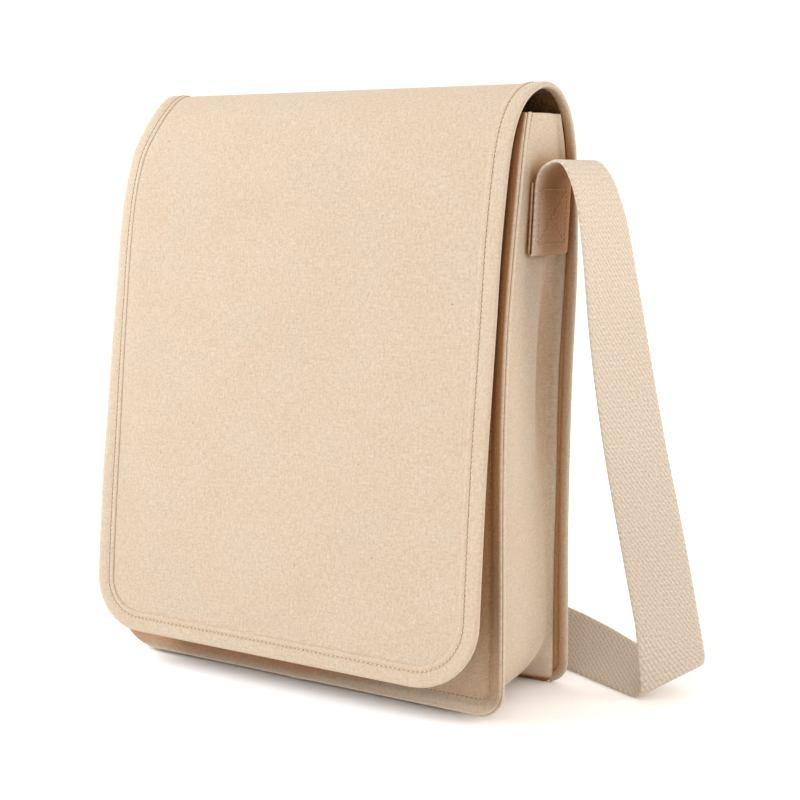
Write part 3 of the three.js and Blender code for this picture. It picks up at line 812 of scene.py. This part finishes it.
class BAG_OT_back_and_flap(bpy.types.Operator):
    """Back panel and flap in one cloth, with the soft bulge and ripples of the hanging flap"""

    bl_idname = "bag.back_and_flap"
    bl_label = "Back and flap"

    def execute(self, context):
        sizes = context.scene.bag_sizes
        along = panel_stations(sizes, back_step=4 * MM, arch_step=2 * MM)
        share = np.linspace(-1, 1, 81)
        face = panel_points(along[:, None], share[None, :], sizes)
        out = np.repeat(panel_out(along)[:, None, :], len(share), axis=1)
        face = face + out * self.ripples(along[:, None], share[None, :])[..., None]
        out = np.where(share[None, :, None] < 1, normals(face), out)
        uv = joined(face[..., 0], along[:, None])
        tone = np.zeros(face.shape[:2])
        # Painted shade on the inner face, darker inside the arch.
        deeper = ramp(along - ARCH_START, *BACK_FADE)[:, None]
        inside = BACK_INSIDE + (CLOTH_INSIDE - BACK_INSIDE) * deeper
        wall = cloth_wall(face, out, sizes.cloth, uv, tone, inside)
        made = piece("back_and_flap", CANVAS, context, *wall)
        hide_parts("back_flap_panel")
        return {"FINISHED"}

    def ripples(self, along, share):
        """Height over the plain cloth: a broad bulge low on the flap and two slow waves, all held to
        nil at the bound edges by (1 - share squared) squared."""
        held = (1 - share**2) ** 2
        flap = ramp(along, ARCH_END, PANEL_LENGTH)
        rise = np.sin(math.pi * flap)
        bulge = BULGE * rise**2
        wave = WAVE * rise * np.sin(WAVE_ACROSS * share + WAVE_ALONG * flap + WAVE_START)
        back = ramp(along, 0, ARCH_START)
        sag = SAG * np.sin(math.pi * back) ** 2 * np.sin(SAG_ACROSS * share + SAG_ALONG * back)
        return held * (bulge + wave + sag)


# Tones across the band, each with its place in from the edge and its span: painted highlights at the
# fold and beside the stitches, painted shade in their valley and at the inner edge. Then the painted
# shade under the inside leg, below the height given, with the places between which it comes in.
BAND_TONES = table(
    "tone_share place span",
    (0.6, -0.6, 2.2), (-0.35, 8.5, 0.8), (-0.4, 12.2, 0.5), (0.35, 10.4, 0.9),
)
BAND_UNDER, BAND_UNDER_HEIGHT, BAND_UNDER_PLACE = -1.3, -1.5 * MM, (-0.8 * MM, 1.2 * MM)

# Point of the band's section where the inside leg ends, and the step along the cloth's edge.
BAND_STEP = 2.5 * MM


class BAG_OT_flap_binding(bpy.types.Operator):
    """Folded canvas band over the edge of the flap, the arch and the back"""

    bl_idname = "bag.flap_binding"
    bl_label = "Flap binding"

    def execute(self, context):
        sizes = context.scene.bag_sizes
        points, out, inward = edge_frame(sizes, BAND_STEP)
        depth, height = BAND_SECTION["depth"], BAND_SECTION["height"]
        rings = (
            points[:, None] + inward[:, None] * depth[:, None] + out[:, None] * height[:, None]
        )
        count, ring = rings.shape[:2]
        index = np.arange(count * ring).reshape(count, ring)
        faces = [*tube_faces(index), index[0].tolist(), index[-1, ::-1].tolist()]
        run = run_length(points)
        girth = run_length(joined(depth, height))
        uv = joined(girth[None, :], run[:, None]).reshape(-1, 2)
        edge = sum(tone * bell(depth - place, span) for tone, place, span in zip(*BAND_TONES.values()))
        edge = edge + BAND_UNDER * (height < BAND_UNDER_HEIGHT) * ramp(depth, *BAND_UNDER_PLACE)
        tone = np.tile(edge, count)
        made = piece("flap_binding", CANVAS, context, rings.reshape(-1, 3), faces, tone, uv)
        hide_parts("edge_binding")
        return {"FINISHED"}


def body_column(name, z):
    """A column of the body's table at the given heights."""
    return smooth(BODY["z"], BODY[name], z)


# Heights between which the left side is drawn in, and the height over a lower corner that has closer
# rows.
DRAWN_SPAN = (110 * MM, 200 * MM)
CLOSE_ROWS = 45 * MM


def drawn_in(z, sizes):
    """How far the left side is drawn in at its front edge: nil low down, eased to the full amount."""
    return sizes.left_draw * ease(ramp(z, *DRAWN_SPAN))


def gusset_half(z, place, left, sizes):
    """Half width of the body at a height and a place from the gusset's front edge to its back edge:
    a parabola through the front, middle and back widths, less the soft folds, which fade to nil at
    the sewn edges, and on the left less what is drawn in."""
    spread = (
        body_column("front_x", z) * (1 - place) * (1 - 2 * place)
        + body_column("middle_x", z) * 4 * place * (1 - place)
        + body_column("back_x", z) * place * (2 * place - 1)
    )
    folds = sum(
        depth * bell(z - at, tall) * bell(place - share, wide)
        for at, share, depth, tall, wide in zip(*GUSSET_FOLDS.values())
    )
    half = spread - np.minimum(1, 8 * place * (1 - place)) * folds
    return half - drawn_in(z, sizes) * (1 - place) if left else half


def gusset_y(z, place, sizes):
    """Depth of a place on the gusset between the front panel's inner face and the back."""
    front = body_column("front_y", z) + sizes.cloth + 3 * sizes.gap
    return front + (body_column("back_y", z) - front) * place


def body_outline(radius, sizes, side_step, foot_step):
    """Heights and turn shares along one side of the body's outline: down the side, with closer rows
    low down, and round a lower corner that fills a square of the given side."""
    low = radius + CLOSE_ROWS
    side = np.linspace(sizes.mouth, low, int((sizes.mouth - low) / side_step))[:-1]
    foot = np.linspace(low, radius, int((low - radius) / foot_step))
    turn = np.linspace(0, 1, int(radius * math.pi / 2 / foot_step))[1:]
    z = np.concatenate([side, foot, np.full(len(turn), radius)])
    return z, np.concatenate([np.zeros(len(side) + len(foot)), turn])


def corner_path(turn, radius, square):
    """Inset and drop along a corner that fills the square: straight down, round an arc of the radius,
    and straight in, at shares of its length."""
    straight = square - radius
    run = turn * (2 * straight + radius * math.pi / 2)
    angle = np.clip((run - straight) / radius, 0, math.pi / 2)
    inset = radius * (1 - np.cos(angle)) + np.maximum(run - straight - radius * math.pi / 2, 0)
    return inset, np.minimum(run, straight) + radius * np.sin(angle)


# Low down, the gusset keeps the panels' squarer outline at its seams and is drawn in to a rounder one
# between them. Shares of its depth: the hold of the front seam, the wall of the tuck in front of the
# back seam, and how far forward the tuck's crease runs on its way down from a share of the corner. Then
# the tuck's depth, the share of the gusset's depth over which the lifted front seam comes down, and how
# fast the seams' profiles fade where the cloth turns level.
FRONT_HOLD = 0.13
TUCK_WALL = 0.1
TUCK_REACH = 0.6
TUCK_START = 0.1
TUCK_DEPTH = 20 * MM
LIFT_REACH = 0.35
LEVEL_FADE = 1.2


def seam_hold(place):
    """Shares of the front's and the back's outline in the gusset's corner: each 1 at its seam, eased
    away behind the front one and straight down the wall of the tuck at the back one."""
    return ease(ramp(place, FRONT_HOLD, 0)), ramp(place, 1 - TUCK_WALL, 1)


def tuck(turn, place):
    """How far the cloth is drawn in behind a crease that slants forward and down from the back seam:
    in proportion to the distance behind the crease, as far as the foot of the wall."""
    crease = 1 - TUCK_WALL - TUCK_REACH * ramp(turn, TUCK_START, 1)
    return TUCK_DEPTH * np.maximum(np.minimum(place, 1 - TUCK_WALL) - crease, 0) / TUCK_REACH


def gusset_grid(sizes, z, turn, place, left):
    """Outer face of one half of the gusset as on the right, from the mouth round the corner to the
    base."""
    square = sizes.side_corner
    sharp_in, sharp_drop = corner_path(turn, sizes.left_corner if left else sizes.corner, square)
    round_in, round_drop = corner_path(turn, square, square)
    foot_in, foot_drop = corner_path(turn, sizes.foot_corner / 2, square)
    front, back = seam_hold(place)
    drawn = round_in + tuck(turn, place)
    inset = drawn + (sharp_in - drawn) * front + (foot_in - drawn) * back
    half = gusset_half(z, place, left, sizes) - inset
    lift = sizes.seam_lift * ramp(place, LIFT_REACH, 0) ** 2
    drop = round_drop + (sharp_drop - round_drop) * front + (foot_drop - round_drop) * back
    low = z - drop * (1 - lift / square)
    return joined(half, gusset_y(z, place, sizes), low)


def gusset_shape(sizes):
    """The right half, the base and the mirrored left half, pressed in and out along the normals by
    the two seams' profiles. Returns the face, its normals and the places across it."""
    place = np.concatenate([
        np.linspace(0, 0.2, 26)[:-1], np.linspace(0.2, 0.85, 44)[:-1], np.linspace(0.85, 1, 20)
    ])
    z, turn = body_outline(sizes.side_corner, sizes, side_step=3.2 * MM, foot_step=1.3 * MM)
    right, left = (
        gusset_grid(sizes, z[:, None], turn[:, None], place[None, :], side) for side in (False, True)
    )
    left = left[::-1] * MIRROR
    across = np.linspace(0, 1, 61)[1:-1, None, None]
    base = right[-1][None] * (1 - across) + left[0][None] * across
    plain = np.concatenate([right, base, left])
    out = normals(plain)
    width = row_widths(plain)[:, None]
    rise = smooth(*GUSSET_LIP.values(), width * place)
    rise = rise + smooth(*GUSSET_BACK.values(), width * (1 - place))
    upright = np.clip(1 - np.abs(out[..., 2]) * LEVEL_FADE, 0, 1)
    face = plain + out * (rise * upright)[..., None]
    return face, normals(face), place


# Tones of the gusset, painted light and shade. Bells with their places and spans: the painted
# highlight on the front edge, painted shade in the stitched valley behind it, and the painted
# highlight on the back edge.
FRONT_HIGHLIGHT, FRONT_HIGHLIGHT_SPAN = 0.7, 2.4 * MM
VALLEY, VALLEY_PLACE, VALLEY_SPAN = -0.9, 4.4 * MM, 0.7 * MM
BACK_HIGHLIGHT, BACK_HIGHLIGHT_SPAN = 0.8, 1.5 * MM

# Ramps with their heights and places: painted light on the mouth and on the facet in front of the
# tuck, and painted shade on the cloth under the tuck, which isn't quite level. The painted shade in
# the soft fold is a bell by height and place.
MOUTH_LIGHT, MOUTH_HEIGHT = 0.7, (320 * MM, 350 * MM)
FACET_LIGHT, FACET_HEIGHT, FACET_PLACE = 1.7, (36 * MM, 22 * MM), (0.6, 0.75)
UNDER, UNDER_HEIGHT, UNDER_PLACE, UNDER_LEVEL = -5.8, (4.8 * MM, 2.8 * MM), (0.35, 0.45), (-0.98, -0.94)
FOLD, FOLD_HEIGHT, FOLD_TALL, FOLD_PLACE, FOLD_WIDE = -0.8, 215 * MM, 90 * MM, 0.84, 0.12


class BAG_OT_gusset(bpy.types.Operator):
    """Strip that makes both sides and the base, with its pinched front seam and turned back edge"""

    bl_idname = "bag.gusset"
    bl_label = "Gusset"

    def execute(self, context):
        sizes = context.scene.bag_sizes
        face, out, place = gusset_shape(sizes)
        run = run_length(face[:, face.shape[1] // 2])
        uv = joined(face[..., 1], run[:, None])
        depth = row_widths(face)[:, None] * place
        tone = self.tones(face[..., 2], out[..., 2], place, depth, depth[:, -1:] - depth)
        wall = cloth_wall(face, out, sizes.cloth, uv, tone, CLOTH_INSIDE)
        made = piece("gusset_strip", CANVAS, context, *wall)
        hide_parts("gusset")
        return {"FINISHED"}

    def tones(self, z, level, place, depth, back):
        """Sum of the tones of painted light and shade at a height, an upward part of the normal, a
        place across, and distances from the front edge and from the back edge."""
        edges = (
            FRONT_HIGHLIGHT * bell(depth, FRONT_HIGHLIGHT_SPAN) + VALLEY * bell(depth - VALLEY_PLACE, VALLEY_SPAN)
            + BACK_HIGHLIGHT * bell(back, BACK_HIGHLIGHT_SPAN)
        )
        facet = FACET_LIGHT * ramp(z, *FACET_HEIGHT) * ramp(place, *FACET_PLACE)
        fold = FOLD * bell(z - FOLD_HEIGHT, FOLD_TALL) * bell(place - FOLD_PLACE, FOLD_WIDE)
        under = UNDER * ramp(z, *UNDER_HEIGHT) * ramp(place, *UNDER_PLACE) * ramp(level, *UNDER_LEVEL)
        return edges + MOUTH_LIGHT * ramp(z, *MOUTH_HEIGHT) + facet + fold + under


# Tones of the front by height, painted light and shade: of its foot, painted light below and painted
# shade under the flap, at the three places across, painted shade on the lip at its sides, and on the
# cloth between. Then the heights between which the foot's tones give way, and the distances from the
# outline at which the lip's start and end.
FOOT_PLACE = np.array((-110, 0, 110)) * MM
FOOT_HEIGHT = np.array((3.7, 5.5, 7.5, 10, 14, 24)) * MM
FOOT = np.array((
    (0.4, -0.6, -1.4, -1.8, -1.9, -1.8),
    (1.2, 0.0, -1.4, -2.2, -2.2, -1.9),
    (2.4, 2.2, 1.9, 0.5, -0.8, -0.6),
))
LIP = (np.array((30, 120, 180)) * MM, np.array((-1.3, -2.0, -2.5)))
COVERED = -0.7
FOOT_END = (14 * MM, 30 * MM)
LIP_START = (0.2 * MM, 1 * MM)
LIP_END = (9 * MM, 15 * MM)


class BAG_OT_front_panel(bpy.types.Operator):
    """Front panel with the pinched seam round its sides and lower edge"""

    bl_idname = "bag.front_panel"
    bl_label = "Front panel"

    def execute(self, context):
        sizes = context.scene.bag_sizes
        face, inset = self.shape(sizes)
        height = face[..., 2]
        uv = joined(face[..., 0], height)
        # Painted light on the foot low down, painted shade under the flap and on the lip beside it.
        side = ramp(height, *FOOT_END)
        inner = ramp(inset, *LIP_END)
        upper = np.interp(height, *LIP) * ramp(inset, *LIP_START) * (1 - inner) + COVERED * inner
        foot = sum(
            np.interp(height, FOOT_HEIGHT, tones) * np.interp(face[..., 0], FOOT_PLACE, share)
            for tones, share in zip(FOOT, np.eye(len(FOOT)))
        )
        tone = foot * (1 - side) + upper * side
        wall = cloth_wall(face, normals(face), sizes.cloth, uv, tone, CLOTH_INSIDE)
        made = piece("front_panel_cloth", CANVAS, context, *wall)
        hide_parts("front_panel")
        return {"FINISHED"}

    def shape(self, sizes):
        """Rows from the lower edge to the mouth, each as wide as the outline there, set back from the
        outline by the lip's profile of the distance from it. Returns the face and that distance."""
        turn = np.linspace(0, math.pi / 2, 34)
        foot = front_bottom(sizes) + sizes.left_corner * (1 - np.cos(turn))
        height = np.concatenate([foot, np.linspace(foot[-1], sizes.mouth, 105)[1:]])
        edge = np.concatenate([np.linspace(1, 0.82, 40)[:-1], np.linspace(0.82, 0, 32)])
        share = np.concatenate([edge, -edge[::-1][1:]])
        radius = np.where(share > 0, sizes.corner, sizes.left_corner)[None, :]
        past = front_bottom(sizes) + radius - height[:, None]
        half = front_edge(share[None, :], height[:, None], sizes) - corner_inset(radius, past)
        x = share[None, :] * half
        inset = front_inset(x, height[:, None], sizes)
        y = body_column("front_y", height)[:, None] + smooth(*FRONT_LIP.values(), inset)
        return joined(x, y, height[:, None]), inset


def front_bottom(sizes):
    """Height of the front panel's lower edge, a step inside the gusset's edge."""
    return sizes.seam_lift + sizes.edge_step


def front_edge(side, z, sizes):
    """Half width of the front panel above its corners, on the side that has the sign."""
    return body_column("front_x", z) - sizes.edge_step - np.where(side < 0, drawn_in(z, sizes), 0)


def front_inset(x, z, sizes):
    """Distance in from the front's outline: a box with a radius for each corner, open at the top."""
    radius = np.where(x > 0, sizes.corner, sizes.left_corner)
    past_x = np.abs(x) - (front_edge(x, z, sizes) - radius)
    past_z = front_bottom(sizes) + radius - z
    outside = np.hypot(np.maximum(past_x, 0), np.maximum(past_z, 0))
    return radius - outside - np.minimum(np.maximum(past_x, past_z), 0)


def level_line(yaw):
    """Level unit line at a plan angle from +Y towards +X."""
    return joined(np.sin(yaw), np.cos(yaw), 0.0)


def cross_lines(middle, direction, width):
    """The two ends of the webbing's cross lines, front end first."""
    reach = direction * (width / 2)
    return np.stack([middle - reach, middle + reach], axis=1)


def side_row(rows, side):
    """A side's values in a table with a row for each side, by column."""
    return {name: float(values[SIDES.index(side)]) for name, values in rows.items()}


# Clearance between the gusset and a sewn end.
SEAT_GAP = 0.5 * MM


def sewn_plane(side, sizes):
    """Foot and top of a sewn end's inner layer, the cross direction and the direction off the gusset,
    far enough out to clear the gusset all over the end's outline."""
    row = side_row(SEWN, side)
    across = level_line(row["yaw_deg"])
    off = np.cross(across, UP)
    f, reach = np.meshgrid(np.linspace(0, 1, 7), np.linspace(-1, 1, 7) * sizes.strap_width / 2)
    z = row["foot_z"] + (row["top_z"] - row["foot_z"]) * f
    y = row["foot_y"] + (row["top_y"] - row["foot_y"]) * f + reach * across[1]
    place = (y - gusset_y(z, 0, sizes)) / (gusset_y(z, 1, sizes) - gusset_y(z, 0, sizes))
    half = gusset_half(z, place, side == "left", sizes)
    seat = np.max(half - reach * across[0]) + SEAT_GAP + sizes.strap_thick / 2
    foot = np.array([seat, row["foot_y"], row["foot_z"]])
    top = np.array([seat, row["top_y"], row["top_z"]])
    return foot, top, across, off


def strap_sewn(side, sizes):
    """Down the gusset as the inner layer, round the turned edge in a half circle, and up again."""
    foot, top, across, off = sewn_plane(side, sizes)
    apart = sizes.strap_thick + 2 * sizes.gap
    climb = np.linspace(0, 1, 24)[:, None]
    down = top + (foot - top) * climb
    angle = np.linspace(0, math.pi, 13)[1:-1, None]
    turn = foot + off * apart * (1 - np.cos(angle)) / 2 - UP * apart / 2 * np.sin(angle)
    up = foot + off * apart + (top - foot) * climb
    return cross_lines(np.concatenate([down, turn, up]), across, sizes.strap_width)


def strap_fall(side, sizes):
    """Over the turned top and down: a smooth curve through the table's rows."""
    rows = FALL[side]
    run = run_length(joined(rows["x"], rows["y"], rows["z"]))
    along = np.linspace(0, run[-1], 200)
    x, y, z, yaw = (smooth(run, column, along) for column in rows.values())
    return cross_lines(joined(x, y, z), level_line(yaw), sizes.strap_width)


def strap_roll(side, sizes):
    """Straight lines of the webbing laid round a cylinder on a slanted axis until it runs level."""
    start = side_row(ROLL, side)
    level = level_line(start["yaw_deg"])
    axis = level * math.cos(ROLL_SLOPE) + UP * math.sin(ROLL_SLOPE)
    forward = level * math.sin(ROLL_SLOPE) - UP * math.cos(ROLL_SLOPE)
    inside = np.cross(UP, level)
    angle = np.linspace(0, math.acos(-math.tan(ROLL_SLOPE) ** 2), 28)[:, None]
    middle = (
        np.array([start["x"], start["y"], start["z"]])
        - axis * math.tan(ROLL_SLOPE) * sizes.roll_radius * angle
        + forward * sizes.roll_radius * np.sin(angle)
        + inside * sizes.roll_radius * (1 - np.cos(angle))
    )
    return cross_lines(middle, axis, sizes.strap_width / math.cos(ROLL_SLOPE))


def strap_floor(side, roll_end, sizes):
    """Along the floor behind the bag, standing up from the lower edge by the lean."""
    rows = FLOOR[side]
    x = np.concatenate([[roll_end[0, 0]], rows["x"]])
    y = np.concatenate([[roll_end[0, 1]], rows["y"]])
    lean = np.concatenate([[ROLL_SLOPE], rows["lean_deg"]])
    run = run_length(joined(x, y))
    along = np.linspace(0, run[-1], 150)[1:]
    line = joined(smooth(run, x, along), smooth(run, y, along), roll_end[0, 2])
    behind = np.cross(unit(np.gradient(line, axis=0)), UP)
    rise = smooth(run, lean, along)[:, None]
    across = behind * np.cos(rise) + UP * np.sin(rise)
    return np.stack([line, line + across * sizes.strap_width], axis=1)


def strap_lines(sizes):
    """Cross lines of the whole strap: the right side, then the left side mirrored and run back."""
    sides = []
    for side in SIDES:
        roll = strap_roll(side, sizes)
        sides.append(np.concatenate([
            strap_sewn(side, sizes), strap_fall(side, sizes), roll, strap_floor(side, roll[-1], sizes)
        ]))
    return np.concatenate([sides[0], sides[1][:-1][::-1] * MIRROR])


# Steps along the strap that are shorter than this are left out.
SAME_PLACE = 1e-7


def evened(lines, step, span, hold):
    """Cross lines at an even step along the strap, averaged over a bell of the given span so that its
    stretches run into each other, but for the held length at both ends."""
    run = run_length(lines.mean(axis=1))
    keep = np.concatenate([[True], np.diff(run) > SAME_PLACE])
    run, lines = run[keep], lines[keep]
    along = np.linspace(0, run[-1], int(run[-1] / step))
    even = read(along, run, lines.reshape(-1, 6))
    reach = int(3 * span / step)
    weights = bell(np.arange(-reach, reach + 1) * step, span)
    padded = np.pad(even, ((reach, reach), (0, 0)), mode="edge")
    mean = joined(*[np.convolve(column, weights / weights.sum(), "valid") for column in padded.T])
    free = ease(ramp(np.minimum(along, run[-1] - along), hold, hold + 4 * span))[:, None]
    return (even * (1 - free) + mean * free).reshape(-1, 2, 3), along


# Step along the strap, the span over which its stretches run into each other, and the length of a sewn
# end that keeps its shape.
STRAP_STEP, STRAP_BLEND, STRAP_HOLD = 1.2 * MM, 3 * MM, 74 * MM

# Painted shade on the sewn ends, which the loop shades, on the outer and the inner face: the deepest
# tone, and the lengths from the end at which it is gone and full. The front edge has a share of it,
# which grows to all of it across.
STRAP_TONES = ((-1.8, 100 * MM, 86 * MM), (-2.5, 135 * MM, 110 * MM))
FRONT_SHARE, SHARE_GROWTH = 0.4, 2


class BAG_OT_shoulder_strap(bpy.types.Operator):
    """Whole webbing strap: two sewn ends, the falls at both sides and the stretch behind the bag"""

    bl_idname = "bag.shoulder_strap"
    bl_label = "Shoulder strap"

    def execute(self, context):
        sizes = context.scene.bag_sizes
        lines, along = evened(strap_lines(sizes), STRAP_STEP, STRAP_BLEND, STRAP_HOLD)
        share = np.linspace(0, 1, 17)
        middle = lines[:, :1] + (lines[:, 1:] - lines[:, :1]) * share[None, :, None]
        out = normals(middle)
        face = middle + out * sizes.strap_thick / 2
        uv = joined(sizes.strap_width * share[None, :], along[:, None])
        # Painted shade on the sewn ends under the loop.
        end = np.minimum(along, along[-1] - along)[:, None]
        across = np.clip(FRONT_SHARE + SHARE_GROWTH * share, 0, 1)
        outer, inner = (deepest * ramp(end, gone, full) * across for deepest, gone, full in STRAP_TONES)
        wall = cloth_wall(face, out, sizes.strap_thick, uv, outer, inner)
        made = piece("strap_webbing", WEBBING, context, *wall)
        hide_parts("shoulder_strap")
        return {"FINISHED"}


# A stitch is a spindle of thread: the angles of its sides, and by ring the share of its length, its
# girth and its height in radii of the thread, and its share of painted shade where it dips into the
# cloth at the needle holes. The first one starts at a share of the pitch.
STITCH_TURNS = np.linspace(0, math.tau, 6)[:-1]
STITCH_RUN = np.array([0.0, 0.2, 0.5, 0.8, 1.0])
STITCH_GIRTH = np.array([0.5, 0.92, 1.0, 0.92, 0.5])
STITCH_LIFT = np.array([-0.7, 0.1, 0.35, 0.1, -0.7])
STITCH_SUNK = np.array([1.0, 0.3, 0.0, 0.3, 1.0])
STITCH_START = 0.12

# Places of the rows: on the band, in from the edge and over the cloth's face, in the valleys of the
# pinched seam on the gusset and on the front, and on a sewn end, in from the webbing's edges and at
# shares of its height.
BAND_ROW, BAND_ROW_HEIGHT = 8.5 * MM, 0.7 * MM
GUSSET_ROW, FRONT_ROW = 4.4 * MM, 8.6 * MM
BOX_INSET, BOX_LOW, BOX_HIGH = 4 * MM, 0.12, 0.92

# The row on the gusset ends where the cloth's normal has this much of a vertical part. Then the shares
# of painted shade all along the thread of the seams and of the strap's sewn ends.
ROW_LEVEL = 0.75
SEAM_SHADE, STRAP_SHADE = 0.8, 0.75


def stitch_row(points, out, sizes):
    """Stitches along a line: each is a five-sided spindle over a part of the pitch, whose ends dip
    into the cloth. Returns an array of stitches by rings by sides."""
    run = run_length(points)
    count = max(1, int(run[-1] / sizes.stitch_pitch))
    start = (np.arange(count) + STITCH_START) * run[-1] / count
    at = start[:, None] + STITCH_RUN[None, :] * sizes.stitch_length
    centre = read(at, run, points)
    up = unit(read(at, run, out))
    ahead = unit(centre[:, -1] - centre[:, 0])[:, None, :]
    side = unit(np.cross(ahead + 0 * up, up))
    centre = centre + up * (STITCH_LIFT * sizes.thread)[None, :, None]
    girth = (STITCH_GIRTH * sizes.thread)[None, :, None, None]
    angle = STITCH_TURNS[:, None]
    turn = side[:, :, None] * np.cos(angle) + up[:, :, None] * np.sin(angle)
    return centre[:, :, None] + turn * girth


def stitch_piece(name, rows, context, shade_share=0.0):
    """One mesh of all the rows: quads round each spindle and a pentagon at each end. The shade share
    darkens the thread all along as painted shade."""
    spindles = np.concatenate(rows)
    count, rings, sides = spindles.shape[:3]
    index = np.arange(count * rings * sides).reshape(count, rings, sides)
    turned = np.roll(index, -1, axis=2)
    quads = np.stack([index[:, :-1], turned[:, :-1], turned[:, 1:], index[:, 1:]], axis=3)
    faces = [*quads.reshape(-1, 4).tolist(), *index[:, 0, ::-1].tolist(), *index[:, -1].tolist()]
    sunk = np.broadcast_to(np.maximum(STITCH_SUNK, shade_share)[None, :, None], index.shape).ravel()
    made = piece(name, THREAD, context, spindles.reshape(-1, 3), faces, sunk)


class BAG_OT_stitches(bpy.types.Operator):
    """Rows of thread on the binding, the pinched front seam and the strap's sewn ends"""

    bl_idname = "bag.stitches"
    bl_label = "Stitches"

    def execute(self, context):
        sizes = context.scene.bag_sizes
        points, out, inward = edge_frame(sizes, BAND_STEP)
        band = stitch_row(points + inward * BAND_ROW + out * BAND_ROW_HEIGHT, out, sizes)
        stitch_piece("binding_stitches", [band], context)
        stitch_piece("seam_stitches", self.seam_rows(sizes), context, SEAM_SHADE)
        ends = [row for side in SIDES for row in self.box_rows(side, sizes)]
        stitch_piece("strap_stitches", ends, context, STRAP_SHADE)
        return {"FINISHED"}

    def seam_rows(self, sizes):
        """Along the valleys at both sides of the pinched seam: on the gusset, and round the front."""
        face, outward, place = gusset_shape(sizes)
        share = np.clip(GUSSET_ROW / row_widths(face), 0, 1)
        column = np.interp(share, place, np.arange(len(place)))
        low = np.floor(column).astype(int)
        part = (column - low)[:, None]
        rows = np.arange(len(face))
        line = face[rows, low] * (1 - part) + face[rows, low + 1] * part
        turn = outward[rows, low]
        upright = np.abs(turn[:, 2]) < ROW_LEVEL
        right = rows < len(face) // 2
        sides = (upright & right, upright & ~right)
        made = [stitch_row(line[side], turn[side], sizes) for side in sides]
        return [*made, self.front_row(sizes)]

    def front_row(self, sizes):
        """Round the front panel, a lip's width inside its outline."""
        lines = []
        for side, corner in ((1, sizes.corner), (-1, sizes.left_corner)):
            z, turn = body_outline(corner, sizes, side_step=3 * MM, foot_step=1.5 * MM)
            angle = turn * math.pi / 2
            radius = corner - FRONT_ROW
            x = front_edge(side, z, sizes) - FRONT_ROW - radius * (1 - np.cos(angle))
            lines.append((side * x, z + (front_bottom(sizes) - radius) * np.sin(angle)))
        x, height = (np.concatenate([lines[0][i], lines[1][i][::-1]]) for i in (0, 1))
        y = body_column("front_y", height) + smooth(*FRONT_LIP.values(), FRONT_ROW)
        ahead = np.tile((0.0, -1.0, 0.0), (len(x), 1))
        return stitch_row(joined(x, y, height), ahead, sizes)

    def box_rows(self, side, sizes):
        """A box with its diagonals on the outer layer of a sewn end."""
        foot, top, across, off = sewn_plane(side, sizes)
        face = off * (sizes.strap_thick * 1.5 + 2 * sizes.gap)
        wide = across * (sizes.strap_width / 2 - BOX_INSET)
        low, high = (foot + face + (top - foot) * share for share in (BOX_LOW, BOX_HIGH))
        corners = np.array([low - wide, low + wide, high + wide, high - wide])
        flip = MIRROR if side == "left" else np.ones(3)
        lines = corners[[(0, 1), (1, 2), (2, 3), (3, 0), (0, 2), (1, 3)]] * flip
        return [stitch_row(line, np.tile(off * flip, (len(line), 1)), sizes) for line in lines]


class BAG_PT_panel(bpy.types.Panel):
    """Sizes, colours and pieces of the bag"""

    bl_idname = "BAG_PT_panel"
    bl_label = "Conference bag"
    bl_space_type = "VIEW_3D"
    bl_region_type = "UI"
    bl_category = "Bag"

    def draw(self, context):
        for group in (context.scene.bag_sizes, context.scene.bag_colours):
            box = self.layout.box()
            for name in group.__annotations__:
                box.prop(group, name)
        for maker in OPERATORS:
            self.layout.operator(maker.bl_idname)


OPERATORS = (
    BAG_OT_stage,
    BAG_OT_back_and_flap,
    BAG_OT_flap_binding,
    BAG_OT_front_panel,
    BAG_OT_gusset,
    BAG_OT_shoulder_strap,
    BAG_OT_stitches,
)
CLASSES = (BagSizes, BagColours, *OPERATORS, BAG_PT_panel)


def register():
    """Registers the classes and adds the settings to the scene."""
    for each in CLASSES:
        bpy.utils.register_class(each)
    bpy.types.Scene.bag_sizes = PointerProperty(type=BagSizes)
    bpy.types.Scene.bag_colours = PointerProperty(type=BagColours)


def unregister():
    """Takes the settings and the classes away again."""
    del bpy.types.Scene.bag_colours
    del bpy.types.Scene.bag_sizes
    for each in reversed(CLASSES):
        bpy.utils.unregister_class(each)


def main():
    """Makes the stage and all the pieces."""
    register()
    bpy.ops.bag.stage()
    bpy.ops.bag.back_and_flap()
    bpy.ops.bag.flap_binding()
    bpy.ops.bag.front_panel()
    bpy.ops.bag.gusset()
    bpy.ops.bag.shoulder_strap()
    bpy.ops.bag.stitches()


if __name__ == "__main__":
    main()
